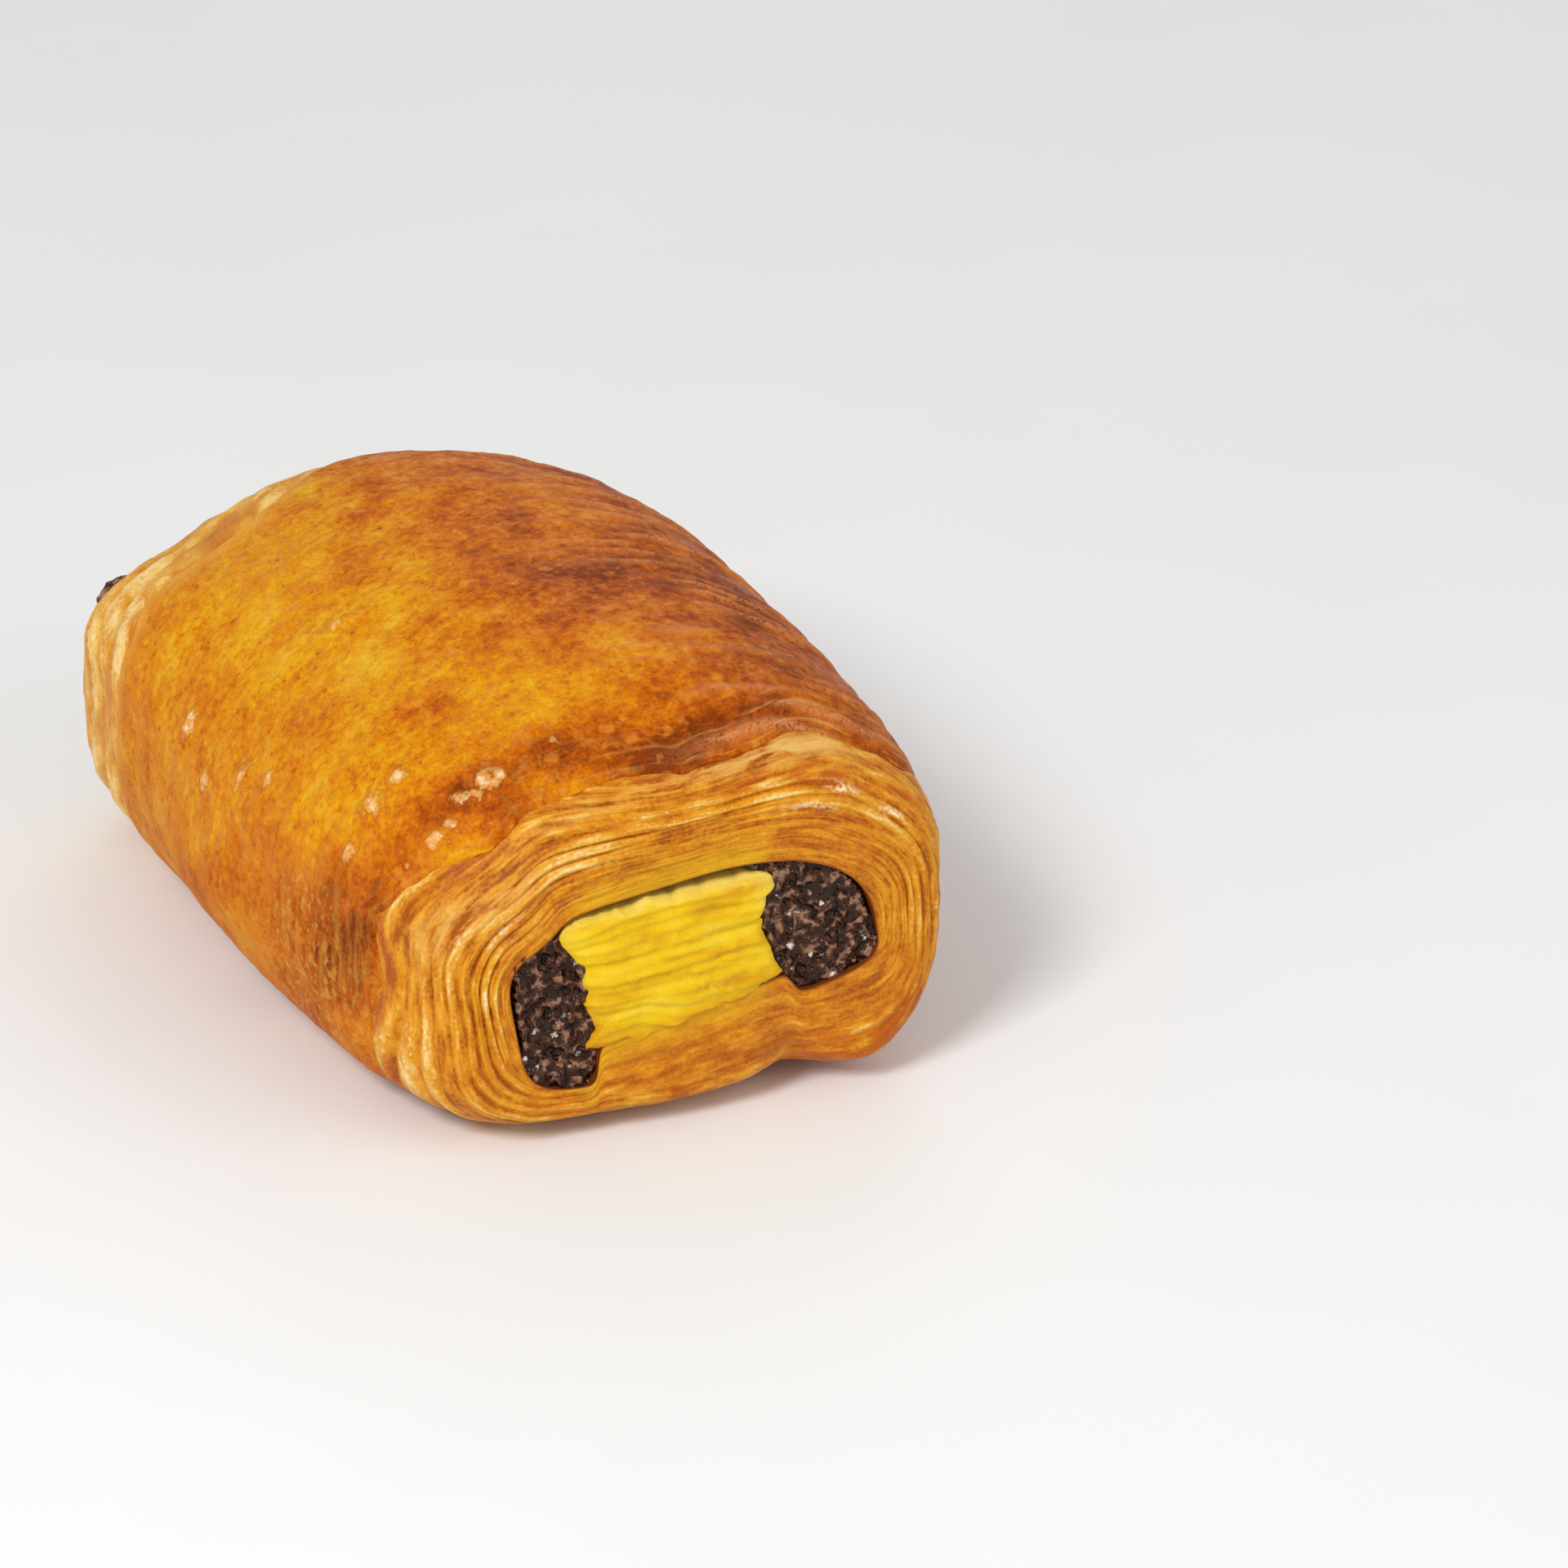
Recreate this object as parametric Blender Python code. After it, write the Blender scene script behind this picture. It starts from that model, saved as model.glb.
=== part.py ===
"""A pain au chocolat: flaky pastry wound round two chocolate sticks with custard between them.

X runs across the roll, Y along the chocolate sticks and Z up, in metres.
The origin is in the flat base, under the middle of the filling. The near end faces -Y.
"""

import bmesh
import bpy
import numpy as np

# The whole roll
LENGTH = 0.105
WIDTH = 0.0749
HEIGHT = 0.0518
HALF_LENGTH = LENGTH / 2
FAR_SPREAD = 0.064  # share by which the far end is wider than the middle, and the near end narrower
END_SLANT = -0.083  # how far the ends run along Y for each metre of X
END_LEAN = 0.06  # how far the near end leans back for each metre of height

# The cross-section: an ellipse above its widest level and a rounded box below it
WIDEST_LEFT = 0.0281
WIDEST_RIGHT = 0.0279
TOP_ROUNDNESS = 1.94
BASE_ROUNDNESS_LEFT = 4.7
BASE_ROUNDNESS_RIGHT = 3.4
BASE_SUNK = 0.0008  # the round underside is cut off flat this far up, where it lay on the tray
CREST_SHIFT = 0.0022

# How square the ends are, read at the right side, right shoulder, top, left shoulder, left side and base
NEAR_SQUARENESS = (5.7, 3.75, 3.2, 3.4, 3.0, 5.3)
FAR_SQUARENESS = (3.2, 2.6, 3.1, 2.85, 4.7, 8.4)

# Where the browned outer sheet ends, as an angle from the roll's axis, in the same order
NEAR_CRUST_EDGE = (50.0, 42.0, 33.0, 35.0, 45.0, 58.0)
FAR_CRUST_EDGE = (50.0, 46.0, 40.0, 57.0, 61.0, 60.0)
CRUST_LIP = 0.0006

# Lumps: a swollen left side, and low on the near end a belly, a notch and the tail of the rolled sheet
LEFT_SWELL = 0.0035
LEFT_SWELL_Z = 0.017
LEFT_SWELL_LENGTH = 0.022
LEFT_SWELL_REACH = 0.012
BELLY_OUT = 0.0023
BELLY_X = -0.0010
BELLY_REACH = 0.010
NOTCH_BACK = 0.0041
NOTCH_X = 0.0139
NOTCH_REACH = 0.0045
TAIL_OUT = 0.0034
TAIL_X = 0.0240
TAIL_REACH = 0.0050
LUMP_HEIGHT = 0.008
LUMP_DEPTH = 0.012  # the lumps die out this far from the filling

# The filling's common section, u across it and w up it, which leans with the roll
FILL_HALF_WIDTH = 0.0224
FILL_X = 0.0013
FILL_Z = 0.0186
FILL_TILT = np.radians(8.0)
ROOF_LEFT = 0.0100
ROOF = 0.0124
ROOF_STEP = -0.0155  # where the roof rises from the left stick to the custard
ROOF_STEP_WIDTH = 0.002
FLOOR_LEFT = 0.0098
FLOOR_MIDDLE = 0.0048
FLOOR_SLOPE = 0.07
FLOOR_RIGHT = 0.0072
ROOF_SQUARENESS_LEFT = 5.0
ROOF_SQUARENESS_RIGHT = 2.4
FLOOR_SQUARENESS = 4.5
LEFT_WALL = -0.0126  # between the left stick and the custard
RIGHT_WALL = 0.0093  # between the custard and the right stick
WALL_LEAN = 0.09
LEFT_STEP = -0.0106  # where the floor rises from the left stick to the custard
RIGHT_STEP = 0.0084
STEP_WIDTH = 0.0009
GAP = 0.0004
STEP_CLEARANCE = 0.0009  # sideways room that the filling keeps from the floor's two steps
PAST_THE_SIDES = 1.2 * FILL_HALF_WIDTH  # outside the filling, where a stick has no wall of its own

# How far each piece of the filling stands out of the near end and of the far end
LEFT_STICK_OUT = (-0.0006, 0.0004)
CUSTARD_OUT = (0.0008, 0.0008)
RIGHT_STICK_OUT = (-0.0004, 0.0004)

# Relief
LAYERS = 7
LAYER_HEIGHT = 0.0007
SWELL_HEIGHT = 0.0006
CRAG_HEIGHT = 0.0003
FOLD_HEIGHT = 0.00035
FOLD_SPACING = 0.0046
BASE_EDGE_HEIGHT = 0.006  # the relief dies out below this height, towards the flat base
MOUTH_SHARE = 1 / 6  # and over this share of an end's face, towards the tunnel

# How finely the solids are divided
COLUMNS = 92
RINGS_PER_LAYER = 3
BODY_RINGS = 12
STICK_COLUMNS = 28
CUSTARD_COLUMNS = 40
FACE_SHARES = (0.2, 0.4, 0.58, 0.74, 0.87, 0.96, 1.0)

DOUGH_COLOUR = (0.72, 0.36, 0.07, 1.0)
CHOCOLATE_COLOUR = (0.045, 0.020, 0.016, 1.0)
CUSTARD_COLOUR = (0.80, 0.58, 0.06, 1.0)


def clear_scene():
    for old in list(bpy.data.objects):
        bpy.data.objects.remove(old)


def bump(value, centre, reach):
    """A bell of height 1 round the centre."""
    return np.exp(-(((value - centre) / reach) ** 2))


def box_radius(angle, squareness):
    """Distance from the centre to a unit shape between a circle (2) and a square (large), along an angle."""
    across = np.abs(np.cos(angle)) ** squareness
    up = np.abs(np.sin(angle)) ** squareness
    return (across + up) ** (-1 / squareness)


def round_the_section(angle, values):
    """Blends six values, given at 0, 45, 90, 135, 180 and 270 degrees, smoothly round the section."""
    right, right_shoulder, top, left_shoulder, left, base = values
    marks = np.radians([-90.0, 0.0, 45.0, 90.0, 135.0, 180.0, 270.0])
    held = np.array([base, right, right_shoulder, top, left_shoulder, left, base])
    turned = (angle + np.pi / 2) % (2 * np.pi) - np.pi / 2
    step = np.clip(np.searchsorted(marks, turned, side="right") - 1, 0, len(marks) - 2)
    share = (turned - marks[step]) / (marks[step + 1] - marks[step])
    share = share * share * (3 - 2 * share)
    return held[step] * (1 - share) + held[step + 1] * share


def outer_section(angle):
    """The roll's outline at the middle of its length, seen along Y."""
    across, up = np.cos(angle), np.sin(angle)
    leftness = (1 - across) / 2
    widest = WIDEST_RIGHT + (WIDEST_LEFT - WIDEST_RIGHT) * leftness
    base_roundness = BASE_ROUNDNESS_RIGHT + (BASE_ROUNDNESS_LEFT - BASE_ROUNDNESS_RIGHT) * leftness
    radius = np.where(up >= 0, box_radius(angle, TOP_ROUNDNESS), box_radius(angle, base_roundness))
    x = WIDTH / 2 * radius * across + CREST_SHIFT * np.clip(up, 0, 1)
    above = widest + (HEIGHT - widest) * radius * up
    below = widest + (widest + BASE_SUNK) * radius * up
    return x, np.maximum(np.where(up >= 0, above, below), 0)


def step_up(value, place, width):
    """Rises smoothly from 0 to 1 across a place."""
    return 0.5 + 0.5 * np.tanh((value - place) / width)


def roof(u):
    """Height of the filling above its middle line."""
    return ROOF_LEFT + (ROOF - ROOF_LEFT) * step_up(u, ROOF_STEP, ROOF_STEP_WIDTH)


def custard_floor(u):
    """Depth of the custard below the filling's middle line, on the dough that rises under it."""
    return FLOOR_MIDDLE - FLOOR_SLOPE * (u - LEFT_STEP)


def floor(u):
    """Depth of the filling below its middle line, with a step down to each stick."""
    past_left = step_up(u, LEFT_STEP, STEP_WIDTH)
    past_right = step_up(u, RIGHT_STEP, STEP_WIDTH)
    middle = custard_floor(u) * past_left * (1 - past_right)
    return FLOOR_LEFT * (1 - past_left) + middle + FLOOR_RIGHT * past_right


def lowest_floor(u):
    """The higher of the floor's places within reach sideways, so that a stick keeps clear of the steps."""
    return np.minimum(floor(u), np.minimum(floor(u - STEP_CLEARANCE), floor(u + STEP_CLEARANCE)))


def roof_squareness(u):
    """How square the roof's corners are: the left one is sharp and the right one round."""
    return ROOF_SQUARENESS_LEFT + (ROOF_SQUARENESS_RIGHT - ROOF_SQUARENESS_LEFT) * step_up(u, 0.0, 0.004)


def fill_edge(angle):
    """The filling's outline as a squared circle whose roof and floor change across it."""
    corner = np.where(np.sin(angle) >= 0, roof_squareness(FILL_HALF_WIDTH * np.cos(angle)), FLOOR_SQUARENESS)
    radius = box_radius(angle, corner)
    u = FILL_HALF_WIDTH * radius * np.cos(angle)
    rise = radius * np.sin(angle)
    return u, np.where(rise >= 0, rise * roof(u), rise * floor(u))


def inside_fill(u, w, inset, piece_floor):
    """Below 1 inside the filling's outline drawn in by inset, and above 1 outside it."""
    reach = np.where(w >= 0, roof(u), piece_floor(u)) - inset
    corner = np.where(w >= 0, roof_squareness(u), FLOOR_SQUARENESS)
    return np.abs(u / (FILL_HALF_WIDTH - inset)) ** corner + np.abs(w / reach) ** corner


def ray_to_fill_edge(centre, angle, inset, piece_floor):
    """Distance along an angle from a point on the middle line to the filling's drawn-in outline.

    The interval that holds the edge is halved again and again.
    """
    near = np.zeros_like(angle)
    far = np.full_like(angle, 2.5 * FILL_HALF_WIDTH)
    for _ in range(40):
        middle = (near + far) / 2
        u, w = centre + middle * np.cos(angle), middle * np.sin(angle)
        inside = inside_fill(u, w, inset, piece_floor) < 1
        near = np.where(inside, middle, near)
        far = np.where(inside, far, middle)
    return near


def tilted(u, w):
    """X and Z of a place in the filling's section."""
    x = FILL_X + u * np.cos(FILL_TILT) - w * np.sin(FILL_TILT)
    z = FILL_Z + u * np.sin(FILL_TILT) + w * np.cos(FILL_TILT)
    return x, z


def well_spread(sections, count):
    """Angles that put half of the columns evenly along the sections and half where these turn most."""
    fine = np.linspace(0, 2 * np.pi, 2881)
    spent = np.zeros(len(fine) - 1)
    for section in sections:
        x, z = section(fine)
        step_x, step_z = np.diff(x), np.diff(z)
        along = np.hypot(step_x, step_z)
        heading = np.unwrap(np.arctan2(step_z, step_x))
        turning = np.abs(np.diff(np.append(heading, heading[0] + 2 * np.pi)))
        spent += along / along.sum() + turning / turning.sum()
    measure = np.concatenate([[0.0], np.cumsum(spent)])
    return np.interp(np.arange(count) / count * measure[-1], measure, fine)


def tunnel_section(angle):
    """The edge of the hole that holds the filling."""
    return tilted(*fill_edge(angle))


def plain_tunnel_section(angle):
    """The same edge without the floor's steps, which the outer layers follow."""
    u, w = fill_edge(angle)
    plain_floor = (FLOOR_LEFT + FLOOR_RIGHT) / 2 * np.sin(angle) * box_radius(angle, FLOOR_SQUARENESS)
    return tilted(u, np.where(np.sin(angle) >= 0, w, plain_floor))


def facing_angle(angle):
    """The outer section's angle at the place that faces a place on the tunnel's edge.

    The tunnel lies lower than the outer section's widest level, so the left and the base are turned on
    a little.
    """
    return angle + 0.079 - 0.183 * np.cos(angle) + 0.07 * np.sin(2 * angle)


def facing_section(angle):
    """The outer section, by the angle round the tunnel."""
    return outer_section(facing_angle(angle))


def end_plane(x, z, end):
    """Y of the flat part of an end, which is slanted and, at the near end, leans back."""
    lean = END_LEAN * (z - FILL_Z) if end < 0 else 0
    return end * HALF_LENGTH + END_SLANT * x + lean


def dough_point(tunnel_angle, turn):
    """A place on the roll, from round the tunnel and from the near end to the far one (turn, 0 to pi)."""
    angle = facing_angle(tunnel_angle)
    near_end = turn < np.pi / 2
    near_square = round_the_section(angle, NEAR_SQUARENESS)
    far_square = round_the_section(angle, FAR_SQUARENESS)
    radius = box_radius(turn, np.where(near_end, near_square, far_square))
    outward, forward = radius * np.sin(turn), radius * np.cos(turn)
    outer_x, outer_z = outer_section(angle)
    inner_x, inner_z = tunnel_section(tunnel_angle)
    plain_x, plain_z = plain_tunnel_section(tunnel_angle)
    outer_x = outer_x * (1 - FAR_SPREAD * forward)
    steps_left = np.clip(1 - outward, 0, 1) ** 2.5
    x = plain_x + (outer_x - plain_x) * outward + (inner_x - plain_x) * steps_left
    z = plain_z + (outer_z - plain_z) * outward + (inner_z - plain_z) * steps_left
    lean = END_LEAN * (z - FILL_Z) * np.clip(forward, 0, 1) ** 2
    y = -forward * HALF_LENGTH + END_SLANT * x + lean
    return x, y, z


def belly_and_lumps(x, y, z, outward):
    """Moves points for the swollen left side and for the near end's belly, notch and tail low down."""
    left = bump(x, -WIDTH / 2, LEFT_SWELL_REACH) * bump(z, LEFT_SWELL_Z, LEFT_SWELL_REACH)
    left = left * bump(y, 0.0, LEFT_SWELL_LENGTH)
    low = np.exp(-z / LUMP_HEIGHT) * np.clip(-y / HALF_LENGTH, 0, 1) ** 2 * np.clip(outward, 0, 1)
    back = NOTCH_BACK * bump(x, NOTCH_X, NOTCH_REACH)
    back = back - BELLY_OUT * bump(x, BELLY_X, BELLY_REACH) - TAIL_OUT * bump(x, TAIL_X, TAIL_REACH)
    return x - LEFT_SWELL * left, y + back * low, z


def slow_swell(x, y):
    """Gentle unevenness of a risen dough, in metres."""
    waves = 0.5 * np.sin(95 * x + 40 * y + 0.6) + 0.35 * np.sin(70 * y - 60 * x + 2.1)
    return SWELL_HEIGHT * (waves + 0.3 * np.sin(170 * x + 120 * y + 4.0))


def layer_relief(layer, angle):
    """Height of the pastry layers' rounded edges: one bump for each whole step of layer."""
    share = layer % 1.0
    uneven = 0.75 + 0.25 * np.sin(3 * angle + 1.7 * np.floor(layer + 1e-6))
    return LAYER_HEIGHT * uneven * (4 * share * (1 - share) - 0.5)


def surface_normals(grid):
    """Outward normals of a grid that closes both ways."""
    along = np.roll(grid, -1, axis=0) - np.roll(grid, 1, axis=0)
    around = np.roll(grid, -1, axis=1) - np.roll(grid, 1, axis=1)
    normal = np.cross(along, around)
    return normal / np.maximum(np.linalg.norm(normal, axis=2, keepdims=True), 1e-12)


def dough_grid():
    """Rings from the near mouth of the tunnel, over the roll, to its far mouth.

    The walls of the tunnel close the grid.
    """
    tunnel_angle = well_spread([tunnel_section, tunnel_section, facing_section], COLUMNS)
    angle = facing_angle(tunnel_angle)
    face_rings = LAYERS * RINGS_PER_LAYER
    near_edge = np.radians(round_the_section(angle, NEAR_CRUST_EDGE))
    far_edge = np.pi - np.radians(round_the_section(angle, FAR_CRUST_EDGE))
    face = np.arange(face_rings + 1) / face_rings
    body = np.linspace(0.02, 0.98, BODY_RINGS)

    rings, lifts = [], []
    for share in face:
        rings.append(dough_point(tunnel_angle, near_edge * share))
        lifts.append(layer_relief(share * LAYERS, angle) * min(1.0, share / MOUTH_SHARE))
    for share in body:
        turn = near_edge + (far_edge - near_edge) * share
        rings.append(dough_point(tunnel_angle, turn))
        lifts.append(CRUST_LIP * np.ones_like(angle))
    for share in face[::-1]:
        rings.append(dough_point(tunnel_angle, np.pi - (np.pi - far_edge) * share))
        lifts.append(layer_relief(share * LAYERS, angle) * min(1.0, share / MOUTH_SHARE))

    grid = np.stack([np.stack(ring, axis=-1) for ring in rings])
    inner_x, inner_z = tunnel_section(tunnel_angle)
    away = grid[:, :, [0, 2]] - np.stack([inner_x, inner_z], axis=-1)
    outward = np.linalg.norm(away, axis=2) / LUMP_DEPTH
    x, y, z = belly_and_lumps(grid[:, :, 0], grid[:, :, 1], grid[:, :, 2], outward)
    moved = np.stack([x, y, z], axis=-1)
    normal = surface_normals(moved)
    lift = np.stack(lifts) + slow_swell(x, y) * np.clip(outward - 0.5, 0, 1)
    above_base = np.clip(z / BASE_EDGE_HEIGHT, 0, 1)
    moved = moved + normal * (lift * above_base)[:, :, None]
    moved[:, :, 2] = np.maximum(moved[:, :, 2], 0)
    return moved


def mesh_object(name, verts, faces, colour, roughness):
    mesh = bpy.data.meshes.new(name)
    mesh.from_pydata([tuple(v) for v in verts], [], faces)
    shaped = bmesh.new()
    shaped.from_mesh(mesh)
    bmesh.ops.recalc_face_normals(shaped, faces=shaped.faces)
    bmesh.ops.triangulate(shaped, faces=shaped.faces)
    shaped.to_mesh(mesh)
    shaped.free()
    mesh.shade_smooth()
    obj = bpy.data.objects.new(name, mesh)
    bpy.context.scene.collection.objects.link(obj)
    material = bpy.data.materials.new(name)
    material.use_nodes = True
    shader = material.node_tree.nodes["Principled BSDF"]
    shader.inputs["Base Color"].default_value = colour
    shader.inputs["Roughness"].default_value = roughness
    material.diffuse_color = colour
    mesh.materials.append(material)
    return obj


def bridged_faces(ring_count, columns, closed):
    """Quads between neighbouring rings, and from the last ring to the first where the grid closes."""
    faces = []
    for ring in range(ring_count if closed else ring_count - 1):
        following = (ring + 1) % ring_count
        for column in range(columns):
            side = (column + 1) % columns
            faces.append(
                (
                    ring * columns + column,
                    ring * columns + side,
                    following * columns + side,
                    following * columns + column,
                )
            )
    return faces


def build_dough():
    grid = dough_grid()
    faces = bridged_faces(grid.shape[0], COLUMNS, closed=True)
    return mesh_object("dough", grid.reshape(-1, 3), faces, DOUGH_COLOUR, 0.45)


def piece_section(angle, left, right, piece_floor):
    """Edge of one piece of the filling between two leaning walls, with rounded corners.

    Along each ray the edge is a soft minimum of the way to the filling's outline and to the walls.
    """
    centre = (left + right) / 2
    to_outline = ray_to_fill_edge(centre, angle, GAP, piece_floor)
    slope = np.cos(angle) + WALL_LEAN * np.sin(angle)
    wall = np.where(slope > 0, right - centre, left - centre) / np.where(np.abs(slope) < 1e-6, 1e-6, slope)
    reach = (to_outline**-10.0 + np.abs(wall) ** -10.0) ** -0.1
    return centre + reach * np.cos(angle), reach * np.sin(angle)


def filling_piece(name, left, right, piece_floor, columns, bulges, relief, colour, roughness):
    """One piece of the filling, from end to end.

    Its near and far faces are swollen by bulges and shaped by relief(u, w).
    """
    angle = well_spread([lambda turned: piece_section(turned, left, right, piece_floor)], columns)
    edge_u, edge_w = piece_section(angle, left, right, piece_floor)
    centre = (left + right) / 2

    def face_ring(share, end):
        u, w = centre + (edge_u - centre) * share, edge_w * share
        x, z = tilted(u, w)
        swell = bulges[0 if end < 0 else 1] * (1 - share**3) + relief(u, w) * (1 - share**6)
        return np.stack([x, end_plane(x, z, end) + end * swell, z], axis=-1)

    pole = {end: face_ring(0.0, end)[:1] for end in (-1, 1)}
    near_rings = [face_ring(share, -1) for share in FACE_SHARES]
    rings = near_rings + [face_ring(share, 1) for share in FACE_SHARES[::-1]]
    verts = np.concatenate([pole[-1], *rings, pole[1]])
    faces = []
    for column in range(columns):
        side = (column + 1) % columns
        faces.append((0, 1 + side, 1 + column))
        last = 1 + (len(rings) - 1) * columns
        faces.append((len(verts) - 1, last + column, last + side))
    for quad in bridged_faces(len(rings), columns, closed=False):
        faces.append(tuple(1 + corner for corner in quad))
    return mesh_object(name, verts, faces, colour, roughness)


def chocolate_crags(u, w):
    """Coarse crags of baked chocolate."""
    return CRAG_HEIGHT * (np.sin(900 * u + 500 * w) + np.sin(1100 * w - 600 * u + 1.0))


def custard_folds(u, w):
    """Folds that run across the custard, one above the other."""
    return FOLD_HEIGHT * np.sin(2 * np.pi * (w / FOLD_SPACING + 0.15 * np.sin(200 * u)))


def build_filling():
    filling_piece(
        "chocolate_stick_left",
        -PAST_THE_SIDES,
        LEFT_WALL - GAP / 2,
        lowest_floor,
        STICK_COLUMNS,
        LEFT_STICK_OUT,
        chocolate_crags,
        CHOCOLATE_COLOUR,
        0.5,
    )
    filling_piece(
        "custard",
        LEFT_WALL + GAP / 2,
        RIGHT_WALL - GAP / 2,
        custard_floor,
        CUSTARD_COLUMNS,
        CUSTARD_OUT,
        custard_folds,
        CUSTARD_COLOUR,
        0.45,
    )
    filling_piece(
        "chocolate_stick_right",
        RIGHT_WALL + GAP / 2,
        PAST_THE_SIDES,
        lowest_floor,
        STICK_COLUMNS,
        RIGHT_STICK_OUT,
        chocolate_crags,
        CHOCOLATE_COLOUR,
        0.5,
    )


def main():
    clear_scene()
    build_dough()
    build_filling()


main()
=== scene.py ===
# %% [markdown]
# A pain au chocolat is a sheet of laminated dough rolled round two sticks of chocolate, here with custard
# between them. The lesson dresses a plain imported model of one: it loads the model as a fixed frame, and then
# makes the flaky dough, the browned crust, the custard and the chocolate as fine surfaces in the same place.
# X runs across the roll, Y along the sticks and Z up, all in metres.

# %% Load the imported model
import itertools

import bpy
import numpy as np
from mathutils import Matrix, Vector


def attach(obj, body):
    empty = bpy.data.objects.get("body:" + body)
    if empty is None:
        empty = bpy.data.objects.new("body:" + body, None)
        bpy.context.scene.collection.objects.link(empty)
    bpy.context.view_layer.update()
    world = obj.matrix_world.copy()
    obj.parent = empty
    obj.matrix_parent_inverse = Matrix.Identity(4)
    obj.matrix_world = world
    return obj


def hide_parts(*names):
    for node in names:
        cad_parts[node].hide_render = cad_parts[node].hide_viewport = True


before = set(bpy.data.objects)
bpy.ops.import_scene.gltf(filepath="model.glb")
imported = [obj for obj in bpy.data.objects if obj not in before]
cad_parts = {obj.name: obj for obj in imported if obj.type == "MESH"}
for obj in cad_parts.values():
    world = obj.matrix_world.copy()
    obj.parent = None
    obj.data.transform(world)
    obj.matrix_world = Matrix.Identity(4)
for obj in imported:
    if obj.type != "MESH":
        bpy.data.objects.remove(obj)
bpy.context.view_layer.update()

# %% [markdown]
# The camera comes first, because it decides how fine a surface has to be. The photograph is square, and one
# metre at the roll covers PIXELS_PER_METRE of its pixels. A long lens far away keeps the lines nearly
# parallel, as they are in the photograph.

# %% Camera
IMAGE_SIZE = 1920
SENSOR_WIDTH = 36.0
CAMERA_TURN = np.radians(-25.71)
CAMERA_LIFT = np.radians(26.462)
CAMERA_DISTANCE = 0.744676
PIXELS_PER_METRE = 9972
AIM_POINT = Vector((0, 0, 0.020))
AIM_PIXEL = (620.8, 962.5)


def make_camera():
    """The camera looks along minus back; its right and up are level and square to that."""
    turn, lift = CAMERA_TURN, CAMERA_LIFT
    back = Vector((np.sin(turn) * np.cos(lift), -np.cos(turn) * np.cos(lift), np.sin(lift)))
    right = Vector((np.cos(turn), np.sin(turn), 0))
    up = back.cross(right)
    aside = (AIM_PIXEL[0] - IMAGE_SIZE / 2) / PIXELS_PER_METRE
    above = (IMAGE_SIZE / 2 - AIM_PIXEL[1]) / PIXELS_PER_METRE
    eye = AIM_POINT - right * aside - up * above + back * CAMERA_DISTANCE
    data = bpy.data.cameras.new("camera")
    data.sensor_width = SENSOR_WIDTH
    data.lens = SENSOR_WIDTH * PIXELS_PER_METRE * CAMERA_DISTANCE / IMAGE_SIZE
    data.clip_start = 0.01
    camera = bpy.data.objects.new("camera", data)
    camera.matrix_world = Matrix.Translation(eye) @ Matrix((right, up, back)).transposed().to_4x4()
    bpy.context.scene.collection.objects.link(camera)
    bpy.context.scene.camera = camera
    print("lens", round(data.lens, 1), "mm, eye at", [round(v, 3) for v in eye])
    return right, up, back


CAMERA_RIGHT, CAMERA_UP, CAMERA_BACK = make_camera()

# %% [markdown]
# Baked dough is uneven at every size. Two small tools make all of that unevenness: a bell, for a lump at one
# place, and a cloud, which is random but smooth. The cloud's values come from a seeded table, so the roll is
# the same each time.

# %% Bells, steps and clouds
TABLE_SIZE = 64
CLOUD_GAIN = 1.4


def bump(value, centre, reach):
    """A bell of height 1 round the centre."""
    return np.exp(-(((value - centre) / reach) ** 2))


def step_up(value, place, width):
    """Rises smoothly from 0 to 1 across a place."""
    return 0.5 + 0.5 * np.tanh((value - place) / width)


def turned_from(theta, middle):
    """Degrees from a place round the roll, from -180 to 180, so that nothing jumps at 0."""
    return (theta - middle + 180) % 360 - 180


def cloud(places, size, seed):
    """Smooth noise from -1 to 1: random values on a lattice of that size, blended from corner to corner."""
    table = np.random.default_rng(seed).uniform(-1, 1, (TABLE_SIZE,) * 3)
    scaled = places / size
    cell = np.floor(scaled).astype(int)
    share = scaled - cell
    share = share * share * (3 - 2 * share)
    total = np.zeros(places.shape[:-1])
    for corner in itertools.product((0, 1), repeat=3):
        weight = np.prod(np.where(np.array(corner) == 1, share, 1 - share), axis=-1)
        index = (cell + np.array(corner)) % TABLE_SIZE
        total += weight * table[index[..., 0], index[..., 1], index[..., 2]]
    return total * CLOUD_GAIN


print("cloud ready, for example", np.round(cloud(np.array([[0.01, 0.02, 0.03]]), 0.004, 1), 3))

# %% [markdown]
# The roll's cross-section is an ellipse above its widest level and a rounded box below it, with a flat base
# where it lay on the tray. The hole that holds the filling is a squared circle, tilted a little, whose roof
# and floor step where the sticks end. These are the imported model's own forms and values, apart from the
# floor's steps, which are set closer to the filling so that no gap shows beside it.

# %% The roll's outline and the filling's outline
LENGTH = 0.105
WIDTH = 0.0749
HEIGHT = 0.0518
HALF_LENGTH = LENGTH / 2
FAR_SPREAD = 0.064
END_SLANT = -0.083
END_LEAN = 0.06
WIDEST_LEFT = 0.0281
WIDEST_RIGHT = 0.0279
TOP_ROUNDNESS = 1.94
BASE_ROUNDNESS_LEFT = 4.7
BASE_ROUNDNESS_RIGHT = 3.4
BASE_SUNK = 0.0008
CREST_SHIFT = 0.0022
NEAR_SQUARENESS = (5.7, 3.75, 3.2, 3.4, 3.0, 5.3)
FAR_SQUARENESS = (3.2, 2.6, 3.1, 2.85, 4.7, 8.4)
FILL_HALF_WIDTH = 0.0224
FILL_X = 0.0013
FILL_Z = 0.0186
FILL_TILT = np.radians(8.0)
ROOF_LEFT = 0.0100
ROOF = 0.0124
ROOF_STEP = -0.0155
ROOF_STEP_WIDTH = 0.002
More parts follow.
